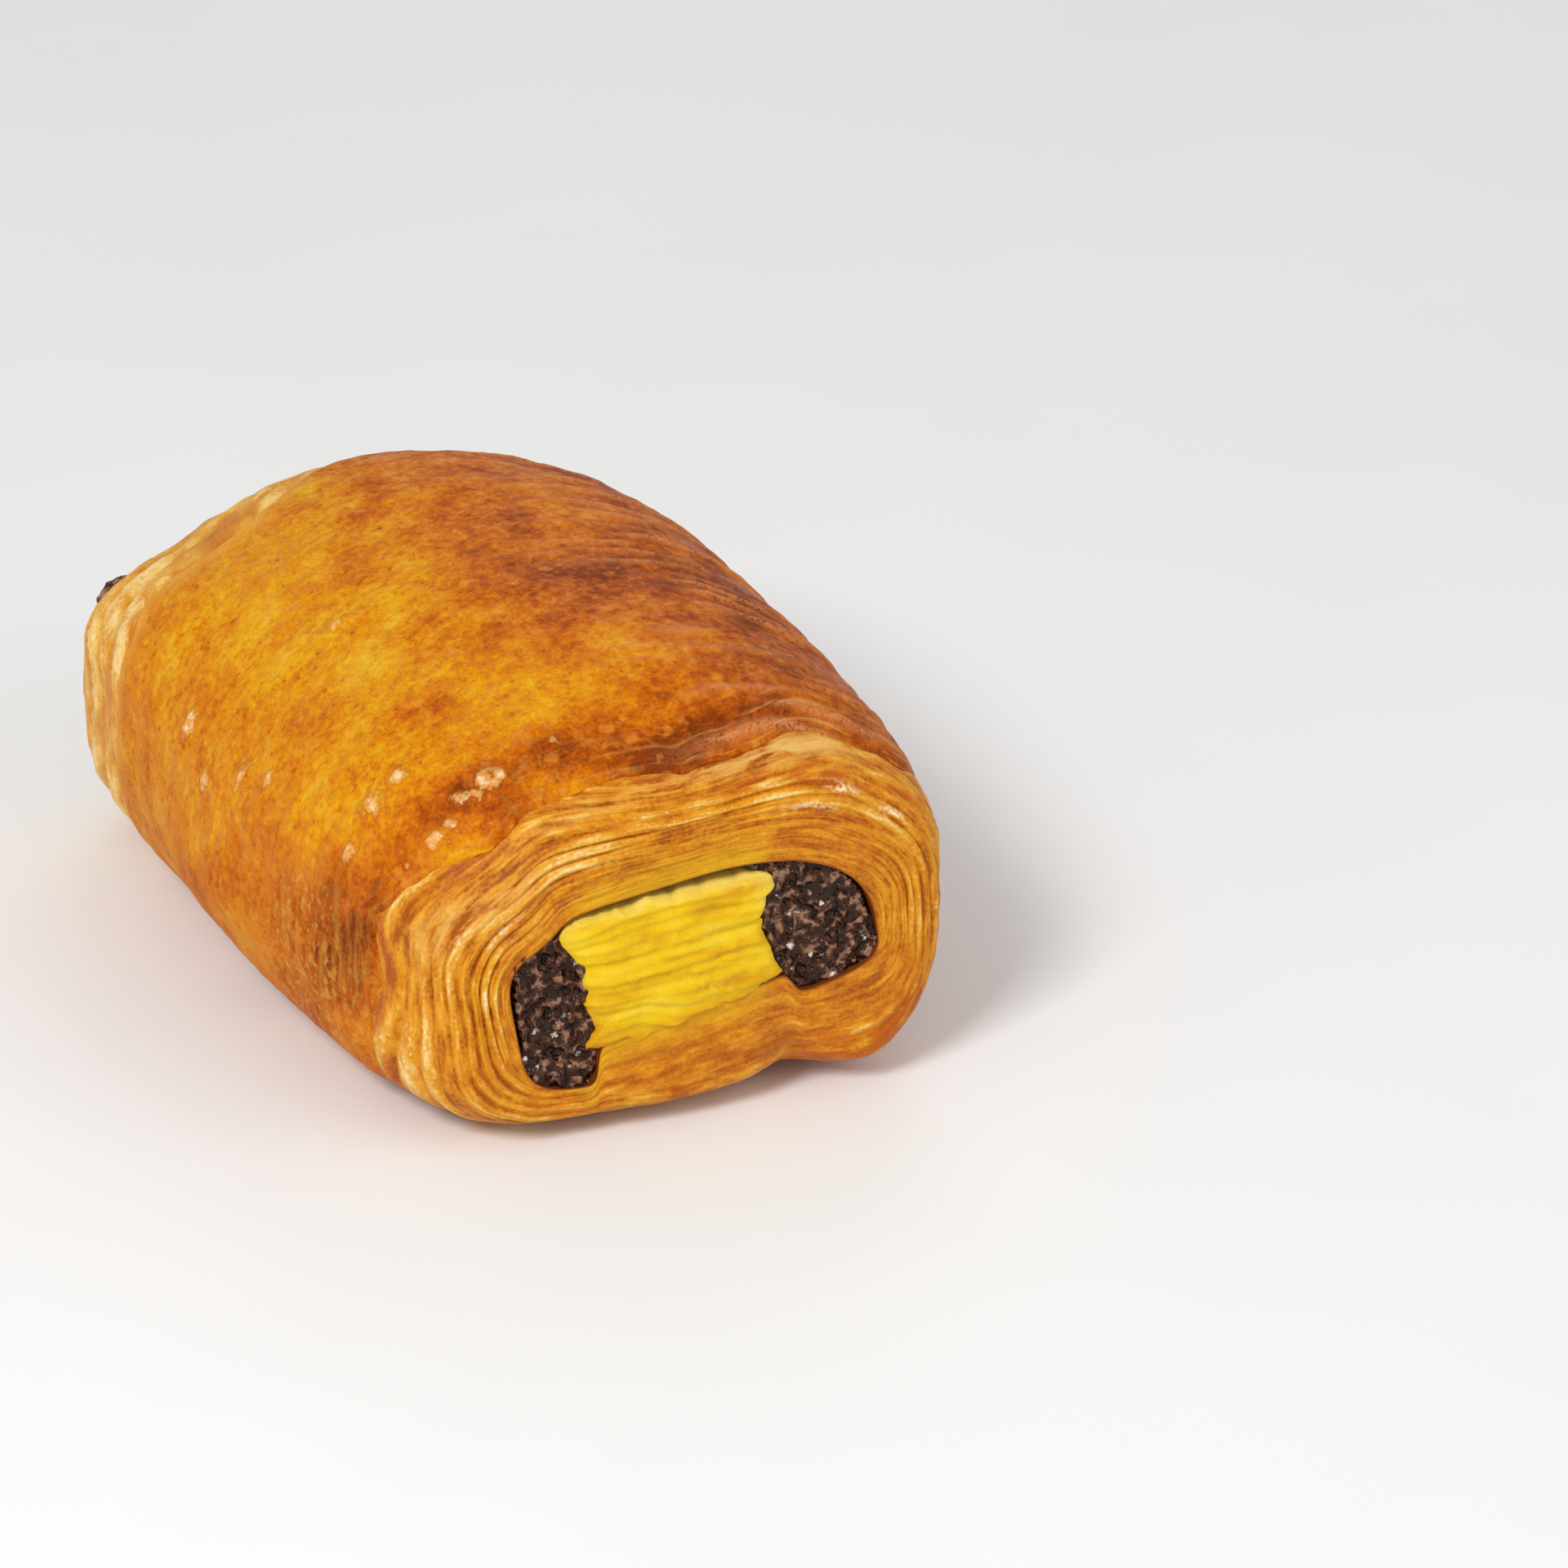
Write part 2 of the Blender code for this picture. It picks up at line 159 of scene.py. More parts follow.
FLOOR_LEFT = 0.0098
FLOOR_MIDDLE = 0.0048
FLOOR_SLOPE = 0.07
FLOOR_RIGHT = 0.0061
LEFT_STEP = -0.0136
RIGHT_STEP = 0.0112
STEP_WIDTH = 0.0007
ROOF_SQUARENESS_LEFT = 5.0
ROOF_SQUARENESS_RIGHT = 2.4
FLOOR_SQUARENESS = 4.5
ROOF_BLEND = 0.004
FACING_EVEN = 0.079
FACING_SIDEWAYS = 0.183
FACING_CORNERS = 0.07


def box_radius(angle, squareness):
    """Distance from the centre to a unit shape between a circle (2) and a square (large), along an angle."""
    across = np.abs(np.cos(angle)) ** squareness
    up = np.abs(np.sin(angle)) ** squareness
    return (across + up) ** (-1 / squareness)


def round_the_section(angle, values):
    """Blends six values, given at 0, 45, 90, 135, 180 and 270 degrees, smoothly round the section."""
    right, right_shoulder, top, left_shoulder, left, base = values
    marks = np.radians([-90.0, 0.0, 45.0, 90.0, 135.0, 180.0, 270.0])
    held = np.array([base, right, right_shoulder, top, left_shoulder, left, base])
    turned = (angle + np.pi / 2) % (2 * np.pi) - np.pi / 2
    step = np.clip(np.searchsorted(marks, turned, side="right") - 1, 0, len(marks) - 2)
    share = (turned - marks[step]) / (marks[step + 1] - marks[step])
    share = share * share * (3 - 2 * share)
    return held[step] * (1 - share) + held[step + 1] * share


def outer_section(angle):
    """The roll's outline at the middle of its length: a point on a squared circle, stretched to size."""
    across, up = np.cos(angle), np.sin(angle)
    leftness = (1 - across) / 2
    widest = WIDEST_RIGHT + (WIDEST_LEFT - WIDEST_RIGHT) * leftness
    base_roundness = BASE_ROUNDNESS_RIGHT + (BASE_ROUNDNESS_LEFT - BASE_ROUNDNESS_RIGHT) * leftness
    radius = np.where(up >= 0, box_radius(angle, TOP_ROUNDNESS), box_radius(angle, base_roundness))
    x = WIDTH / 2 * radius * across + CREST_SHIFT * np.clip(up, 0, 1)
    above = widest + (HEIGHT - widest) * radius * up
    below = widest + (widest + BASE_SUNK) * radius * up
    return x, np.maximum(np.where(up >= 0, above, below), 0)


def roof(u):
    """Height of the filling above its middle line, at u across it."""
    return ROOF_LEFT + (ROOF - ROOF_LEFT) * step_up(u, ROOF_STEP, ROOF_STEP_WIDTH)


def custard_floor(u):
    """Depth of the custard below the middle line, on the dough that rises under it."""
    return FLOOR_MIDDLE - FLOOR_SLOPE * (u - LEFT_STEP)


def floor(u):
    """Depth of the filling below its middle line, with a step down to each stick."""
    past_left = step_up(u, LEFT_STEP, STEP_WIDTH)
    past_right = step_up(u, RIGHT_STEP, STEP_WIDTH)
    middle = custard_floor(u) * past_left * (1 - past_right)
    return FLOOR_LEFT * (1 - past_left) + middle + FLOOR_RIGHT * past_right


def fill_edge(angle):
    """The filling's outline: a squared circle whose roof and floor change across it."""
    rightness = step_up(FILL_HALF_WIDTH * np.cos(angle), 0.0, ROOF_BLEND)
    roundness = ROOF_SQUARENESS_LEFT + (ROOF_SQUARENESS_RIGHT - ROOF_SQUARENESS_LEFT) * rightness
    radius = box_radius(angle, np.where(np.sin(angle) >= 0, roundness, FLOOR_SQUARENESS))
    u = FILL_HALF_WIDTH * radius * np.cos(angle)
    rise = radius * np.sin(angle)
    return u, np.where(rise >= 0, rise * roof(u), rise * floor(u))


def tilted(u, w):
    """X and Z of a place u across and w up in the filling's own section."""
    x = FILL_X + u * np.cos(FILL_TILT) - w * np.sin(FILL_TILT)
    z = FILL_Z + u * np.sin(FILL_TILT) + w * np.cos(FILL_TILT)
    return x, z


def plain_fill_edge(angle):
    """The filling's outline without the floor's steps, which the outer layers follow."""
    u, w = fill_edge(angle)
    plain_floor = (FLOOR_LEFT + FLOOR_RIGHT) / 2 * np.sin(angle) * box_radius(angle, FLOOR_SQUARENESS)
    return u, np.where(np.sin(angle) >= 0, w, plain_floor)


def facing_angle(angle):
    """The outer section's angle at the place that faces a place on the filling's edge."""
    return angle + FACING_EVEN - FACING_SIDEWAYS * np.cos(angle) + FACING_CORNERS * np.sin(2 * angle)


print("outline at the crest", [round(float(v), 4) for v in outer_section(np.array(np.pi / 2))])

# %% [markdown]
# The whole dough is one function of two angles. The first goes round the filling, and the second turns from
# the near end over the roll to the far end. At turn 0 a place lies on the filling's edge, and at 90 degrees
# on the outline at mid-length. Lumps come on top: a swollen left side, and low on the near end a belly, a
# notch and the loose tail of the sheet.

# %% A place on the dough
LEFT_SWELL = 0.0035
LEFT_SWELL_Z = 0.017
LEFT_SWELL_LENGTH = 0.022
LEFT_SWELL_REACH = 0.012
BELLY_OUT = 0.0023
BELLY_X = -0.0010
BELLY_REACH = 0.010
NOTCH_BACK = 0.0041
NOTCH_X = 0.0139
NOTCH_REACH = 0.0045
TAIL_OUT = 0.0034
TAIL_X = 0.0240
TAIL_REACH = 0.0050
LUMP_HEIGHT = 0.008
LUMP_DEPTH = 0.012
SWELL_HEIGHT = 0.0006
STEPS_FADE = 2.5
FINE_STEPS = 4001


def dough_place(fill_angle, turn):
    """A place between the filling's edge and the outline.

    It lies outward by sin(turn) and forward by cos(turn), both squared off by box_radius.
    """
    angle = facing_angle(fill_angle)
    near_square = round_the_section(angle, NEAR_SQUARENESS)
    far_square = round_the_section(angle, FAR_SQUARENESS)
    radius = box_radius(turn, np.where(turn < np.pi / 2, near_square, far_square))
    outward, forward = radius * np.sin(turn), radius * np.cos(turn)
    outer_x, outer_z = outer_section(angle)
    inner_x, inner_z = tilted(*fill_edge(fill_angle))
    plain_x, plain_z = tilted(*plain_fill_edge(fill_angle))
    outer_x = outer_x * (1 - FAR_SPREAD * forward)
    # The floor's steps fade out from the hole to the outline.
    steps_left = np.clip(1 - outward, 0, 1) ** STEPS_FADE
    x = plain_x + (outer_x - plain_x) * outward + (inner_x - plain_x) * steps_left
    z = plain_z + (outer_z - plain_z) * outward + (inner_z - plain_z) * steps_left
    lean = END_LEAN * (z - FILL_Z) * np.clip(forward, 0, 1) ** 2
    y = -forward * HALF_LENGTH + END_SLANT * x + lean
    away = np.hypot(x - inner_x, z - inner_z) / LUMP_DEPTH
    return with_lumps(x, y, z, away), away


def with_lumps(x, y, z, away):
    """Adds the lumps, each a bell, which die out towards the filling (away 0) and towards the top."""
    left = bump(x, -WIDTH / 2, LEFT_SWELL_REACH) * bump(z, LEFT_SWELL_Z, LEFT_SWELL_REACH)
    left = left * bump(y, 0.0, LEFT_SWELL_LENGTH)
    low = np.exp(-z / LUMP_HEIGHT) * np.clip(-y / HALF_LENGTH, 0, 1) ** 2 * np.clip(away, 0, 1)
    back = NOTCH_BACK * bump(x, NOTCH_X, NOTCH_REACH)
    back = back - BELLY_OUT * bump(x, BELLY_X, BELLY_REACH) - TAIL_OUT * bump(x, TAIL_X, TAIL_REACH)
    return np.stack([x - LEFT_SWELL * left, y + back * low, z], axis=-1)


def slow_swell(places):
    """Gentle unevenness of a risen dough, as three slow waves over X and Y."""
    x, y = places[..., 0], places[..., 1]
    waves = 0.5 * np.sin(95 * x + 40 * y + 0.6) + 0.35 * np.sin(70 * y - 60 * x + 2.1)
    return SWELL_HEIGHT * (waves + 0.3 * np.sin(170 * x + 120 * y + 4.0))


def outward_normals(grid):
    """Outward direction of a grid of rings that close round the roll, from its steps along and around."""
    along = np.gradient(grid, axis=0)
    around = np.roll(grid, -1, axis=1) - np.roll(grid, 1, axis=1)
    normal = np.cross(along, around)
    return normal / np.maximum(np.linalg.norm(normal, axis=2, keepdims=True), 1e-12)


def even_angles(count):
    """Angles round the filling that put the columns evenly along the edge and the outline together."""
    fine = np.linspace(0, 2 * np.pi, FINE_STEPS)
    spent = np.zeros(len(fine) - 1)
    for x, z in (tilted(*fill_edge(fine)), outer_section(facing_angle(fine))):
        step = np.hypot(np.diff(x), np.diff(z))
        spent += step / step.sum()
    measure = np.concatenate([[0.0], np.cumsum(spent)])
    return np.interp(np.arange(count) / count * measure[-1], measure, fine)


print("dough at the near crest", np.round(dough_place(np.array(np.pi / 2), np.array(0.5))[0], 4))

# %% [markdown]
# A grid becomes a mesh by joining each place to its neighbours with quads. A form that closes along its
# length too, such as dough with a hole through it, is a ring of rings. A bar has a point at the middle of
# each end instead, joined to that end's ring by triangles. Values that the materials need are stored on the
# points. Each piece prints its volume, which is above zero only when its faces point outwards.

# %% From a grid to a mesh
def make_piece(name, grid, closes_along, values):
    """Quads between neighbouring rings; the last ring meets the first, or two end points close the ends."""
    rings, columns = grid.shape[:2]
    corner = np.arange(rings * columns).reshape(rings, columns)
    beside = np.roll(corner, -1, axis=1)
    quads = np.stack([corner, np.roll(corner, -1, axis=0), np.roll(beside, -1, axis=0), beside], axis=-1)
    places = grid.reshape(-1, 3)
    values = {key: held.reshape(-1) for key, held in values.items()}
    faces = quads if closes_along else quads[:-1]
    faces = faces.reshape(-1, 4).tolist()
    if not closes_along:
        first, last = len(places), len(places) + 1
        faces += np.stack([np.full(columns, first), corner[0], beside[0]], axis=1).tolist()
        faces += np.stack([np.full(columns, last), beside[-1], corner[-1]], axis=1).tolist()
        places = np.concatenate([places, grid[:1].mean(axis=1), grid[-1:].mean(axis=1)])
        ends = {key: [held[:columns].mean(), held[-columns:].mean()] for key, held in values.items()}
        values = {key: np.concatenate([held, ends[key]]) for key, held in values.items()}
    mesh = bpy.data.meshes.new(name)
    mesh.from_pydata(places.tolist(), [], faces)
    for key, held in values.items():
        stored = mesh.attributes.new(key, "FLOAT", "POINT")
        stored.data.foreach_set("value", held.astype(np.float32))
    mesh.shade_smooth()
    piece = bpy.data.objects.new(name, mesh)
    bpy.context.scene.collection.objects.link(piece)
    triangles = sum(len(face) - 2 for face in faces)
    print(name, "has", triangles, "triangles and holds", round(enclosed(mesh) * 1e6, 4), "cubic centimetres")
    return piece


def enclosed(mesh):
    """Volume inside the mesh, as the sum of the tetrahedra from the origin to its triangles."""
    mesh.calc_loop_triangles()
    corners = np.zeros(len(mesh.loop_triangles) * 3, int)
    mesh.loop_triangles.foreach_get("vertices", corners)
    places = np.zeros(len(mesh.vertices) * 3)
    mesh.vertices.foreach_get("co", places)
    a, b, c = places.reshape(-1, 3)[corners.reshape(-1, 3)].transpose(1, 0, 2)
    return float((a * np.cross(b, c)).sum() / 6)


# %% [markdown]
# At both ends the cut edges of the layers show as ridges, one for each sheet. They wander, swell and fade, so
# they are laid out as a number that grows from the filling to the crust: each whole step is one sheet. The
# number is pushed about by a cloud, and a sheet's height is a rounded hump with a sharp crease beside it.

# %% Ridges of the flaky layers
# Values at the right, right shoulder, top, left shoulder, left and base
NEAR_LAYERS = (12.0, 10.0, 10.0, 9.0, 10.0, 6.0)
FAR_LAYERS = (9.0, 9.0, 10.0, 9.0, 9.0, 6.0)
RIDGE_STRENGTH_INSIDE = (0.45, 0.32, 0.18, 0.60, 1.00, 0.12)
RIDGE_STRENGTH_OUTSIDE = (0.55, 0.70, 0.75, 1.00, 1.10, 0.50)
LAYER_HEIGHT = 0.0008
FINE_LAYER_HEIGHT = 0.00018
SHEET_OFFSET = 0.00025
FLAKE_HEIGHT = 0.00010
LAYER_WANDER = 0.9
LAYER_MIDDLE = 0.6
BASE_EDGE_HEIGHT = 0.005


def layer_numbers(places, share, angle, counts, seed):
    """The count of sheets from the band's middle, moved by a cloud that changes slowly round the roll."""
    number = round_the_section(angle, counts) * (share - LAYER_MIDDLE)
    wander = cloud(places, 0.022, seed) + 0.12 * cloud(places, 0.008, seed + 1)
    return number + LAYER_WANDER * wander


def ridges(number, places, seed):
    """A hump for each whole step of the number, higher in some sheets and places than in others."""
    share = number % 1.0
    hump = 4 * share**0.8 * (1 - share**0.8)
    sheet = np.stack([places[..., 0], np.floor(number) * 0.01, places[..., 2]], axis=-1)
    strength = np.clip(0.5 + 0.8 * cloud(sheet, 0.011, seed), 0.0, 1.3)
    return hump, strength, cloud(sheet, 0.018, seed + 1)


def face_relief(number, places, share, angle, seed):
    """The big ridges, finer ones between them and a grain that breaks their edges, in metres."""
    hump, strength, offset = ridges(number, places, seed)
    inside = round_the_section(angle, RIDGE_STRENGTH_INSIDE)
    outside = round_the_section(angle, RIDGE_STRENGTH_OUTSIDE)
    zone = inside + (outside - inside) * step_up(share, 0.5, 0.15)
    fine, fine_strength, _ = ridges(number * 2.3, places, seed + 5)
    lift = LAYER_HEIGHT * (hump - 0.6) * strength * zone
    lift = lift + FINE_LAYER_HEIGHT * (fine - 0.5) * fine_strength * np.sqrt(zone)
    lift = lift + SHEET_OFFSET * offset * zone + FLAKE_HEIGHT * cloud(places, 0.0022, seed + 7)
    lined = np.sqrt(zone)
    return lift, (0.75 * hump * strength + 0.25 * fine * fine_strength) * lined, lined


print("tallest ridge about", LAYER_HEIGHT * 1e3, "mm")

# %% [markdown]
# The crust is the outermost sheet. It is a separate thin shell over the dough, so that its torn lip stands a
# little off the layers at both ends. It is made from two copies of the dough's surface, one lifted and one
# sunk, joined at the lips. The lips run at an angle that changes round the roll and is frayed by a cloud.

# %% Where the crust ends
NEAR_CRUST_EDGE = (50.0, 42.0, 33.0, 35.0, 45.0, 58.0)
FAR_CRUST_EDGE = (50.0, 46.0, 40.0, 57.0, 61.0, 60.0)
FRAY = 1.1
FRAY_RADIUS = 0.04
CRUST_LIP = 0.0002
LIP_TUCK = 0.0002
LIP_REACH = 0.0035
CRUST_DEPTH = 0.0007
COLUMNS = 430


def crust_edges(fill_angle, fray):
    """The turns at which the crust starts and ends, in radians, frayed by clouds round the roll."""
    angle = facing_angle(fill_angle)
    ring = np.stack([np.cos(angle), np.sin(angle), np.zeros_like(angle)], axis=-1) * FRAY_RADIUS
    near_fray = cloud(ring, 0.009, 11) + 0.35 * cloud(ring, 0.0025, 12)
    far_fray = cloud(ring, 0.009, 13) + 0.35 * cloud(ring, 0.0025, 14)
    near = round_the_section(angle, NEAR_CRUST_EDGE) + fray * near_fray
    far = 180 - round_the_section(angle, FAR_CRUST_EDGE) + fray * far_fray
    return np.radians(near), np.radians(far)


FILL_ANGLES = even_angles(COLUMNS)
NEAR_EDGE, FAR_EDGE = crust_edges(FILL_ANGLES, FRAY)
EVEN_NEAR_EDGE, EVEN_FAR_EDGE = crust_edges(FILL_ANGLES, 0.0)
print("the crust starts at", np.round(np.degrees([NEAR_EDGE.min(), NEAR_EDGE.max()])), "degrees")

# %% [markdown]
# The dough under the crust runs from the near mouth of the hole over the near face, hidden under the crust,
# over the far face to the far mouth, and back through the hole. Most of its rings are spent on the near face.

# %% The flaky dough
NEAR_FACE_RINGS = 120
HIDDEN_RINGS = 12
FAR_FACE_RINGS = 60
UNDER_CRUST = 1.05
TUCK_START = 0.97
HIDDEN_DEPTH = 0.0006
TUCKED_LOWEST = 0.0004
MOUTH_DEPTHS = (0.0035, 0.0012, 0.0004)
STAIN_FROM = -0.013
STAIN_TO = 0.010
STAIN_REACH = 0.0028
MOUTH_RISE = 7.0
# Toasted and pale patches, and white patches that are painted highlights on flake tips: angle round the
# roll in degrees, share of the way to the crust, the reaches of both, and how much
TOASTED = (
    (62.0, 0.76, 22.0, 0.07, 1.0),
    (48.0, 0.30, 20.0, 0.14, 0.9),
    (98.0, 0.72, 16.0, 0.05, 0.5),
    (20.0, 0.85, 24.0, 0.12, 0.6),
    (262.0, 0.35, 40.0, 0.30, 0.5),
    (285.0, 0.80, 30.0, 0.20, 0.6),
    (310.0, 0.80, 22.0, 0.40, 1.3),
    (160.0, 0.08, 30.0, 0.08, 0.6),
)
PALE = (
    (68.0, 0.94, 22.0, 0.08, 1.3),
    (140.0, 0.60, 16.0, 0.10, 0.6),
    (165.0, 0.75, 14.0, 0.10, 0.7),
    (115.0, 0.88, 14.0, 0.06, 0.5),
)
FLAKE_HIGHLIGHTS = (
    (50.0, 0.68, 5.0, 0.035, 1.0),
    (31.0, 0.66, 5.0, 0.040, 1.0),
    (58.0, 0.52, 6.0, 0.030, 0.8),
    (146.0, 0.42, 6.0, 0.030, 0.8),
    (160.0, 0.62, 5.0, 0.030, 0.7),
)


def toasting(theta, share):
    """How toasted, pale and white a place on the near end is: a sum of bells over the angle and share."""
    totals = []
    for patches in (TOASTED, PALE, FLAKE_HIGHLIGHTS):
        total = np.zeros_like(share)
        for turned, middle, turn_reach, share_reach, amount in patches:
            sideways = bump(turned_from(theta, turned), 0, turn_reach)
            total += amount * sideways * bump(share, middle, share_reach)
        totals.append(total)
    return totals


def mouth_ring(fill_angle, depth, end):
    """A ring inside the hole at that depth behind the end's plane."""
    place, _ = dough_place(fill_angle, np.full_like(fill_angle, 0.0 if end < 0 else np.pi))
    place[:, 1] -= end * depth
    return place


def make_dough():
    """Rings at rising turns; on the faces they are lifted by the ridges, under the crust they are sunk."""
    near_share = np.linspace(0, UNDER_CRUST, NEAR_FACE_RINGS)[:, None]
    far_share = np.linspace(UNDER_CRUST, 0, FAR_FACE_RINGS)[:, None]
    near_turn = NEAR_EDGE * near_share
    far_turn = np.pi - (np.pi - FAR_EDGE) * far_share
    between = np.linspace(0, 1, HIDDEN_RINGS + 2)[1:-1, None]
    hidden_turn = near_turn[-1] * (1 - between) + far_turn[0] * between
    turn = np.concatenate([near_turn, hidden_turn, far_turn])
    to_crust = np.concatenate([near_share, np.full((HIDDEN_RINGS, 1), UNDER_CRUST), far_share])
    fill_angle = FILL_ANGLES * np.ones_like(turn)
    angle = facing_angle(fill_angle)
    plain, away = dough_place(fill_angle, turn)
    normal = outward_normals(plain)
    is_near = np.arange(len(turn))[:, None] < NEAR_FACE_RINGS + HIDDEN_RINGS // 2
    share = np.where(is_near, turn / EVEN_NEAR_EDGE, (np.pi - turn) / (np.pi - EVEN_FAR_EDGE))
    share = np.clip(share, 0, 1.2)
    number = np.where(
        is_near,
        layer_numbers(plain, share, angle, NEAR_LAYERS, 21),
        layer_numbers(plain, share, angle, FAR_LAYERS, 31),
    )
    relief, ridge, lined = face_relief(number, plain, share, angle, 41)
    at_mouth = np.clip(share * MOUTH_RISE, 0, 1)
    lift = relief * at_mouth + slow_swell(plain) * np.clip(away - 0.5, 0, 1)
    tucked = np.clip((to_crust - TUCK_START) / (UNDER_CRUST - TUCK_START), 0, 1)
    lift = lift * (1 - tucked) - HIDDEN_DEPTH * tucked
    above_base = np.clip(plain[..., 2] / BASE_EDGE_HEIGHT, 0, 1)
    grid = plain + normal * (lift * above_base)[..., None]
    grid[..., 2] = np.maximum(grid[..., 2], TUCKED_LOWEST * tucked)
    near_mouth = [mouth_ring(FILL_ANGLES, depth, -1) for depth in MOUTH_DEPTHS]
    far_mouth = [mouth_ring(FILL_ANGLES, depth, 1) for depth in MOUTH_DEPTHS[::-1]]
    grid = np.concatenate([near_mouth, grid, far_mouth])
    extra = np.zeros((len(MOUTH_DEPTHS), COLUMNS))
    far = np.where(is_near, 0.0, 1.0) * np.ones_like(share)
    toast, pale, white = toasting(np.degrees(angle) % 360, share)
    beside = step_up(plain[..., 0], STAIN_FROM, 0.001) * step_up(plain[..., 0], STAIN_TO, -0.001)
    held = {
        "layer": (number, 0),
        "ridge": (ridge * at_mouth, 0),
        "share": (share, 0),
        "lined": (lined * (1 - 0.5 * far), 0),
        # inside marks painted shade: 1 in the hole, fading out just past its mouth
        "inside": (bump(share, 0, 0.015), 1),
        "far": (far, 0),
        "toast": (toast * (1 - far), 0),
        "pale": (pale * (1 - far), 0),
        # white marks where painted highlights go on the flakes' tips
        "white": (white * (1 - far), 0),
        "stain": (beside * bump(away, 0.0, STAIN_REACH / LUMP_DEPTH), 0),
    }
    values = {key: np.concatenate([extra + end, value, extra + end]) for key, (value, end) in held.items()}
    return make_piece("flaky_dough", grid, True, values)


dough = make_dough()
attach(dough, "root")
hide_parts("dough")

# %% [markdown]
# The crust's own surface has stretch marks that run round the roll, strongest on the right shoulder where the
# sheet was pulled, and soft puckers everywhere. Fifteen blisters are placed one by one, and many small ones
# are scattered between them.

# %% The browned crust
CRUST_RINGS = 200
INNER_RINGS = 10
INNER_LOWEST = 0.0003
WRINKLE_SPACING = 0.0031
WRINKLE_HEIGHT = 0.00045
LIP_LINE_SPACING = 0.0014
LIP_LINE_HEIGHT = 0.00025
LIP_LINES_REACH = 0.0042
LIP_LINES_REACH_RIGHT = 0.0085
PUCKER_HEIGHT = 0.00012
BLISTER_SEED = 5
LARGE_BLISTER = 0.6
SMALL_SHARE = 0.5
SMALL_BLISTERS = 110
WIDEST = 0.0280
BELT_ACROSS = 0.036
BELT_UP = 0.024
# Blisters that show in the photograph: angle round the roll in degrees, Y, reach and height in millimetres
BLISTERS = (
    (140.1, -0.3, 1.2, 0.3),
    (153.7, -31.6, 1.2, 0.4),
    (161.3, -31.9, 1.7, 0.5),
    (143.0, -40.5, 1.4, 0.4),
    (147.0, -41.0, 0.9, 0.3),
    (150.0, -40.0, 0.9, 0.3),
    (139.0, -40.6, 0.9, 0.3),
    (160.8, -41.3, 1.2, 0.4),
    (156.0, -41.6, 0.9, 0.4),
    (171.5, -32.0, 1.0, 0.3),
    (173.7, 10.0, 1.2, 0.2),
    (173.3, -6.2, 1.3, 0.3),
    (170.0, -11.9, 1.1, 0.2),
    (120.6, -39.8, 0.9, 0.3),
    (179.6, 1.4, 1.2, 0.2),
)


def section_angle(places):
    """Angle round the roll in degrees, from the right over the top, about the widest level."""
    return np.degrees(np.arctan2(places[..., 2] - WIDEST, places[..., 0])) % 360


def wrinkles(places, theta):
    """Thin crests a few millimetres apart along the roll, moved by a cloud, strong on the right shoulder."""
    drawn = cloud(places, 0.017, 51) + 0.15 * cloud(places, 0.005, 52)
    number = (places[..., 1] - END_SLANT * places[..., 0]) / WRINKLE_SPACING + 0.8 * drawn
    crest = bump(number % 1.0, 0.5, 0.24)
    sheet = np.stack([places[..., 0], np.floor(number) * 0.01, places[..., 2]], axis=-1)
    patchy = np.clip(0.25 + 0.9 * cloud(sheet, 0.010, 53), 0, 1)
    shoulder = bump(turned_from(theta, 42.0), 0, 34.0)
    return crest * patchy, shoulder


def right_top(theta):
    """1 on the right shoulder, fading smoothly to both sides."""
    return bump(turned_from(theta, 45.0), 0, 50.0)


def beside_lip(theta, from_lip):
    """1 at the near lip, fading over a reach that is longer on the right shoulder than elsewhere."""
    reach = LIP_LINES_REACH + (LIP_LINES_REACH_RIGHT - LIP_LINES_REACH) * right_top(theta)
    return bump(from_lip, 0, reach) * (0.35 + 0.65 * right_top(theta))


def blisters(places, theta):
    """Height and zone of the blisters: a crooked bell for each, those that show and a seeded scatter."""
    draw = np.random.default_rng(BLISTER_SEED)
    small = [
        (draw.uniform(20, 190), draw.uniform(-42, 40), draw.uniform(0.3, 0.6), draw.uniform(0.05, 0.14))
        for _ in range(SMALL_BLISTERS)
    ]
    height = np.zeros(places.shape[:-1])
    zone = np.zeros(places.shape[:-1])
    crooked = 0.35 * cloud(places, 0.0015, 67)
    x, z = BELT_ACROSS * np.cos(np.radians(theta)), WIDEST + BELT_UP * np.sin(np.radians(theta))
    for angle, y, reach, rise in (*BLISTERS, *small):
        turned = np.radians(angle)
        across = np.hypot(x - BELT_ACROSS * np.cos(turned), z - WIDEST - BELT_UP * np.sin(turned))
        away = np.hypot(across, places[..., 1] - y / 1e3) / (reach / 1e3)
        bell = np.exp(-(np.maximum(away + crooked, 0) ** 2))
        height += rise / 1e3 * bell
        zone = np.maximum(zone, bell * (1.0 if reach > LARGE_BLISTER else SMALL_SHARE))
    return height, zone


def crust_relief(places, theta, from_edge):
    """Wrinkles, puckers, blisters and the lines beside the near lip together, in metres."""
    crest, shoulder = wrinkles(places, theta)
    pucker = cloud(places, 0.006, 61) + 0.6 * cloud(places, 0.0024, 62) + 0.3 * cloud(places, 0.0012, 64)
    height, zone = blisters(places, theta)
    number = from_edge / LIP_LINE_SPACING + 0.5 * cloud(places, 0.014, 65)
    line = bump(number % 1.0, 0.5, 0.25) * beside_lip(theta, from_edge)
    line = line * np.clip(0.45 + cloud(places, 0.008, 66), 0, 1)
    lift = CRUST_LIP + slow_swell(places) + WRINKLE_HEIGHT * crest * (0.12 + shoulder)
    lift = lift + PUCKER_HEIGHT * pucker + LIP_LINE_HEIGHT * line + height
    return lift, crest * shoulder, zone, number


